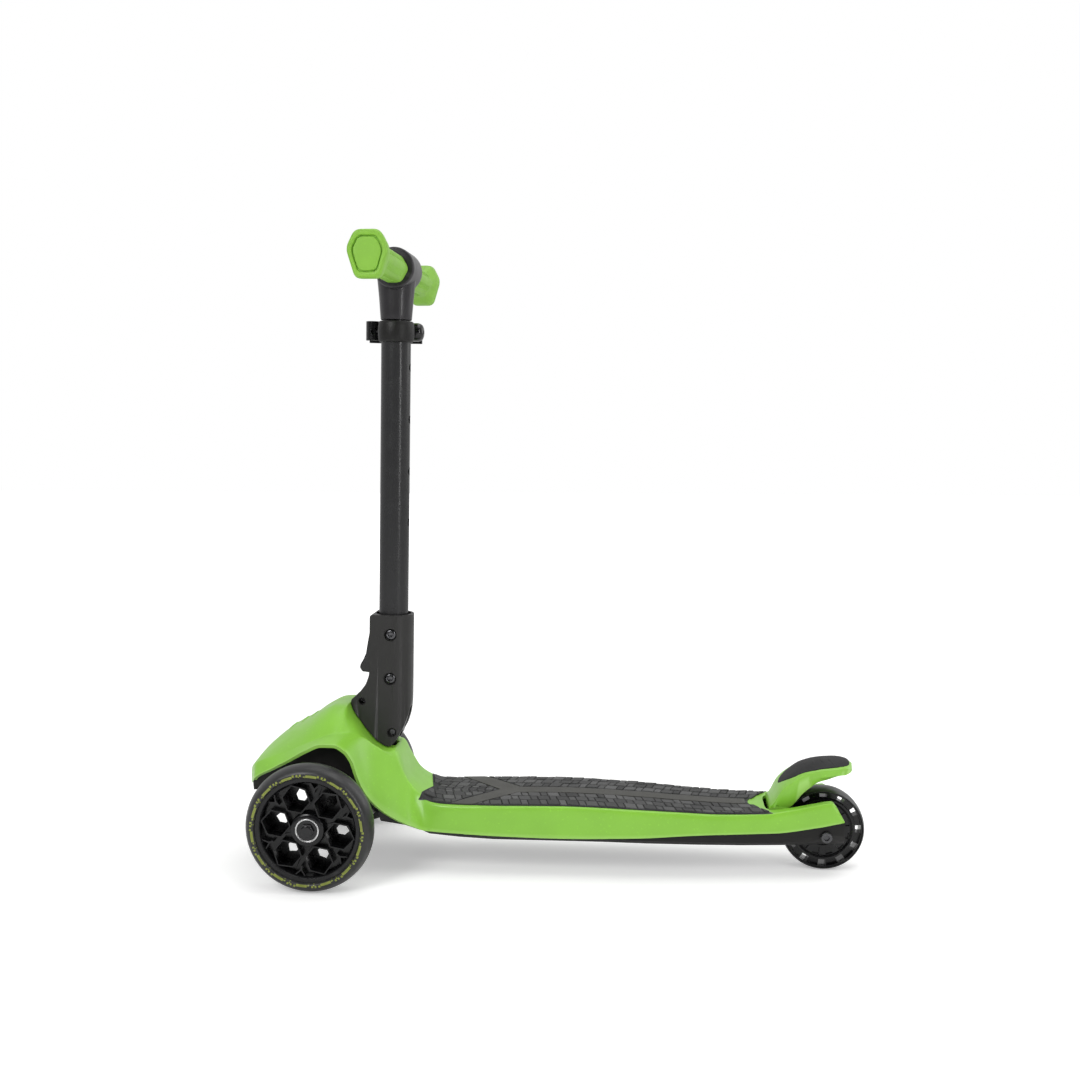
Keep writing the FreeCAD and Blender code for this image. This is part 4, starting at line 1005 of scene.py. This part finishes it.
def tee():
    neck = lathe("neck", [(11.12, 529), (14.3, 529), (15, 529.7), (15.5, 536), (16.6, 550),
                          (17.8, 562), (18.8, 571), (18.9, 576), (11.12, 576)],
                 (0, 0, 0), "Z", 96, STEM)
    barrel = lathe("barrel", [(11.12, -23), (17.6, -23), (18.8, -22.4), (19.4, -20.8),
                              (19.5, -18), (19.5, 18), (19.4, 20.8), (18.8, 22.4),
                              (17.6, 23), (11.12, 23)], (BAR.x, 0, BAR.z + 1.4), "Y", 96, STEM)
    cut(neck, rod("bar_room", 12, (BAR.x, -30, BAR.z), 60, "Y", STEM))
    joint = merge("tee_mesh", [neck, barrel])
    finish(joint, "t_bar", ["tee_joint"], "black_plastic", bevel=0.4, segments=2, angle=50,
           mat="tee_plastic")


GRIP_HEX = [(15, 0), (7.5, 13), (-7.5, 13), (-15, 0), (-7.5, -13), (7.5, -13)]
GRIP_END = [(19, 5), (11, 21), (-11, 21), (-19, 5), (-11, -21), (11, -21)]


def grip(side, name):
    waist, head = rounded(GRIP_HEX, 4.5, 6), rounded(GRIP_END, 5.5, 6)

    def place(x, y, z):
        return (HANDLE[0] + x, side * y, HANDLE[1] + z)

    def ring(y, blend, scale):
        return [place(scale * (a + (c - a) * blend), y, scale * (b + (d - b) * blend))
                for (a, b), (c, d) in zip(waist, head)]

    rings = [ring(23.3, 0, 0.78), ring(23.3, 0, 0.95), ring(23.8, 0, 0.985), ring(25, 0, 1)]
    rings += [ring(y, 0, 1) for y in spread(30, 108, 6)]
    for k in range(1, 10):
        u = k / 9
        rings.append(ring(109 + 20 * u, u * u * (3 - 2 * u), 1 - 0.025 * u * u))
    rings += [ring(132, 1, 0.99), ring(135.2, 1, 1), ring(136.8, 1, 0.985),
              ring(138.1, 1, 0.95), ring(138.8, 1, 0.9), ring(138.9, 1, 0.86),
              ring(138.7, 1, 0.78), ring(138.2, 1, 0.75), ring(136.3, 1, 0.735)]
    body = skin("grip", rings)
    ribs = []
    for k in range(14):
        y0 = 40 + 4.6 * k
        for face in range(6):
            a, b = Vector(GRIP_HEX[face]), Vector(GRIP_HEX[(face + 1) % 6])
            out = ((a + b) / 2).normalized()
            rib_rings = []
            for share, y in ((0.3, y0), (0.5, y0 + 1.8), (0.7, y0)):
                inner, outer = a.lerp(b, share) - out * 0.3, a.lerp(b, share) + out * 0.35
                rib_rings.append([place(inner.x, y, inner.y), place(outer.x, y + 0.3, outer.y),
                                  place(outer.x, y + 1.3, outer.y),
                                  place(inner.x, y + 1.6, inner.y)])
            ribs.append(skin("rib", rib_rings))
    whole = merge(f"grip_mesh_{name}", [body] + ribs)
    finish(whole, "t_bar", [f"grip_{name}"], "grip_rubber", bevel=0.2, segments=2, angle=50)
    end = rounded(GRIP_END, 7, 6)
    levels = ((0.69, 136.3), (0.69, 137.3), (0.97 * 0.69, 137.75), (0.5, 137.85), (0.45, 137.8))
    plug_rings = [[place(scale * x, y, scale * z) for x, z in end] for scale, y in levels]
    plug = skin(f"grip_plug_mesh_{name}", plug_rings)
    finish(plug, "t_bar", [f"grip_plug_{name}"], "grip_rubber", bevel=0.2, segments=2)


for number, label in ((-1, "left"), (1, "right")):
    housing(number, label)
    grip(number, label)
screw_heads()
fold_pin()
trigger()
collar()
lever()
tee()


# ------------------------ small visible fittings
def hex_prism(name, across, low, high, centre):
    ring = [(centre[0] + x, centre[1] + z) for x, z in hexagon(across / math.sqrt(3))]
    return prism(name, ring, low, high)


def axle_bolt():
    head = lathe("head", [(0, -30), (3.95, -30), (3.95, -32.4), (5.3, -32.4), (5.3, -35.4),
                          (4.7, -36.1), (0, -36.2)], (REAR[0], 0, REAR[1]), "Y", 48)
    cut(head, hex_prism("socket", 5, -40, -34.2, REAR))
    shank = rod("shank", 3.99, (REAR[0], -30.5, REAR[1]), 62)
    finish(merge("rear_bolt_mesh", [head, shank]), "chassis", ["rear_axle"], "black_steel",
           bevel=0.3, segments=2, mat="dark_metal")


def axle_nuts():
    """Lock nuts with closed dark ends over the front axle."""
    parts = []
    for side in (-1, 1):
        low, high = sorted((side * 115.75, side * 117.6))
        parts.append(hex_prism("nut", 12.2, low, high, FRONT))
        dome = [(0, 117.0), (5.6, 117.0), (5.3, 118.2), (4.2, 118.75), (0, 118.8)]
        parts.append(lathe("dome", [(r, side * y) for r, y in dome], (FRONT[0], 0, FRONT[1]),
                           "Y", 48))
    finish(merge("front_nut_mesh", parts), "truck", ["front_axle_nuts"], "black_steel",
           bevel=0.35, segments=2, mat="glossy_black")


def nose_walls():
    """Black inner walls behind the wheel arches, from the liner's foot up to the hood."""
    parts = []
    for side in (-1, 1):
        rings = []
        for x in spread(-291, -180, 3):
            low = lerp([(-292, 87), (-287, 81), (-270, 83), (-184, 84), (-177, 58)], x)
            high = deck_height(x, 62) - 1.6
            y0, y1 = side * 60.5, side * 62.3
            if along(EDGE_Y, x) < 63.5:
                y0, y1 = side * (along(EDGE_Y, x) - 3), side * (along(EDGE_Y, x) - 1.2)
                high = deck_height(x, abs(y1)) - 1.6
            rings.append([(x, y0, low), (x, y1, low), (x, y1, high), (x, y0, high)])
        parts.append(skin("wall", rings))
    finish(merge("nose_inner_walls", parts), "chassis", [], "black_plastic", bevel=0.3)


def nose_ribs():
    """Three shallow steps pressed across the top of the nose."""
    parts = []
    for x, half in ((-240, 9.5), (-250, 11), (-262, 12.5)):
        rings = []
        for k in range(-6, 7):
            y = half * k / 6
            bend = 3.2 * (1 - abs(k) / 6)
            section = []
            for dx, lift in ((-2.6, -0.6), (-2.2, 0.25), (0.6, 0.95), (1.6, -0.6)):
                px = x - bend + dx
                section.append((px, y, deck_height(px, y) + lift * (1 if abs(k) < 6 else 0.2)))
            rings.append(section)
        parts.append(skin("step", rings))
    finish(merge("nose_steps", parts), "chassis", [], "green_plastic", bevel=0.35)


axle_bolt()
axle_nuts()
nose_walls()
nose_ribs()

# the pieces that keep their CAD shape take their finish from the record
slot_of = {part["node"]: part["material_slot"] for part in frame["record"]["subparts"]}
for label, node in frame["nodes"].items():
    node.data.materials.clear()
    node.data.materials.append(MATS[slot_of[label]])

# ------------------------ floor, light and camera
floor = prism("floor", [(-6000, -6000), (6000, -6000), (6000, 6000), (-6000, 6000)], -4, 0, "Z")
paper = Shader("pale_floor")
grey = paper.mix(paper.span(paper.noise(3, 4), 0.3, 0.7, 0, 1), (0.9, 0.9, 0.9, 1),
                 (0.93, 0.93, 0.925, 1))
paper.set("Base Color", grey)
paper.set("Roughness", 0.9)
paper.set("Specular IOR Level", 0.0)
paper.set("Emission Color", (1, 1, 1, 1))
# the floor glows towards its far edge, for camera rays only, so that no horizon shows
reach = paper.node("ShaderNodeVectorMath", Vector=paper.coords)
reach.operation = "LENGTH"
sight = paper.node("ShaderNodeLightPath").outputs["Is Camera Ray"]
glow = paper.node("ShaderNodeMath")
glow.operation = "MULTIPLY"
paper.put(glow.inputs[0], paper.span(reach.outputs["Value"], 0.7, 2.2, 0.3, 1.0))
paper.put(glow.inputs[1], sight)
paper.set("Emission Strength", glow.outputs["Value"])
floor.data.materials.append(paper.mat)

# white for the camera; as a light it is dim in front, so that the black parts stay dark
world = bpy.data.worlds.new("studio")
world.use_nodes = True
nodes, link = world.node_tree.nodes, world.node_tree.links.new
backdrop = nodes["Background"]
backdrop.inputs["Color"].default_value = (1, 1, 1, 1)
rays = nodes.new("ShaderNodeLightPath")
level = nodes.new("ShaderNodeMapRange")
level.inputs["To Max"].default_value = 1.0
heading = nodes.new("ShaderNodeTexCoord")
split = nodes.new("ShaderNodeSeparateXYZ")
dim = nodes.new("ShaderNodeMapRange")
dim.interpolation_type = "SMOOTHSTEP"
for key, value in (("From Min", -0.9), ("From Max", 0.15), ("To Min", 0.02), ("To Max", 0.72)):
    dim.inputs[key].default_value = value
link(heading.outputs["Generated"], split.inputs["Vector"])
link(split.outputs["Y"], dim.inputs["Value"])
link(dim.outputs["Result"], level.inputs["To Min"])
link(rays.outputs["Is Camera Ray"], level.inputs["Value"])
link(level.outputs["Result"], backdrop.inputs["Strength"])
bpy.context.scene.world = world


def softbox(name, spot, target, size, energy):
    data = bpy.data.lights.new(name, "AREA")
    data.shape, data.size, data.size_y, data.energy = "RECTANGLE", size[0], size[1], energy
    lamp = bpy.data.objects.new(name, data)
    lamp.location = spot
    lamp.rotation_euler = (Vector(target) - Vector(spot)).to_track_quat("-Z", "Y").to_euler()
    bpy.context.scene.collection.objects.link(lamp)


softbox("key", (-0.9, -1.5, 1.3), (0, 0, 0.2), (0.7, 1.0), 18)
softbox("fill", (1.3, -1.3, 0.8), (0.0, 0, 0.25), (0.16, 1.3), 11)
softbox("top", (0.3, 0.2, 2.2), (0, 0, 0.1), (2.0, 1.4), 13)
softbox("rear", (1.5, 0.9, 1.0), (0.1, 0, 0.15), (0.8, 1.2), 5)

lens = bpy.data.cameras.new("camera")
lens.lens = 42.67
lens.sensor_width = 36
lens.dof.use_dof = False
camera = bpy.data.objects.new("camera", lens)
camera.location = (0.0893, -1.2316, 0.4364)
camera.rotation_euler = (math.radians(84.505), 0, math.radians(4.864))
bpy.context.scene.collection.objects.link(camera)
bpy.context.scene.camera = camera
bpy.context.scene.view_settings.view_transform = "Standard"
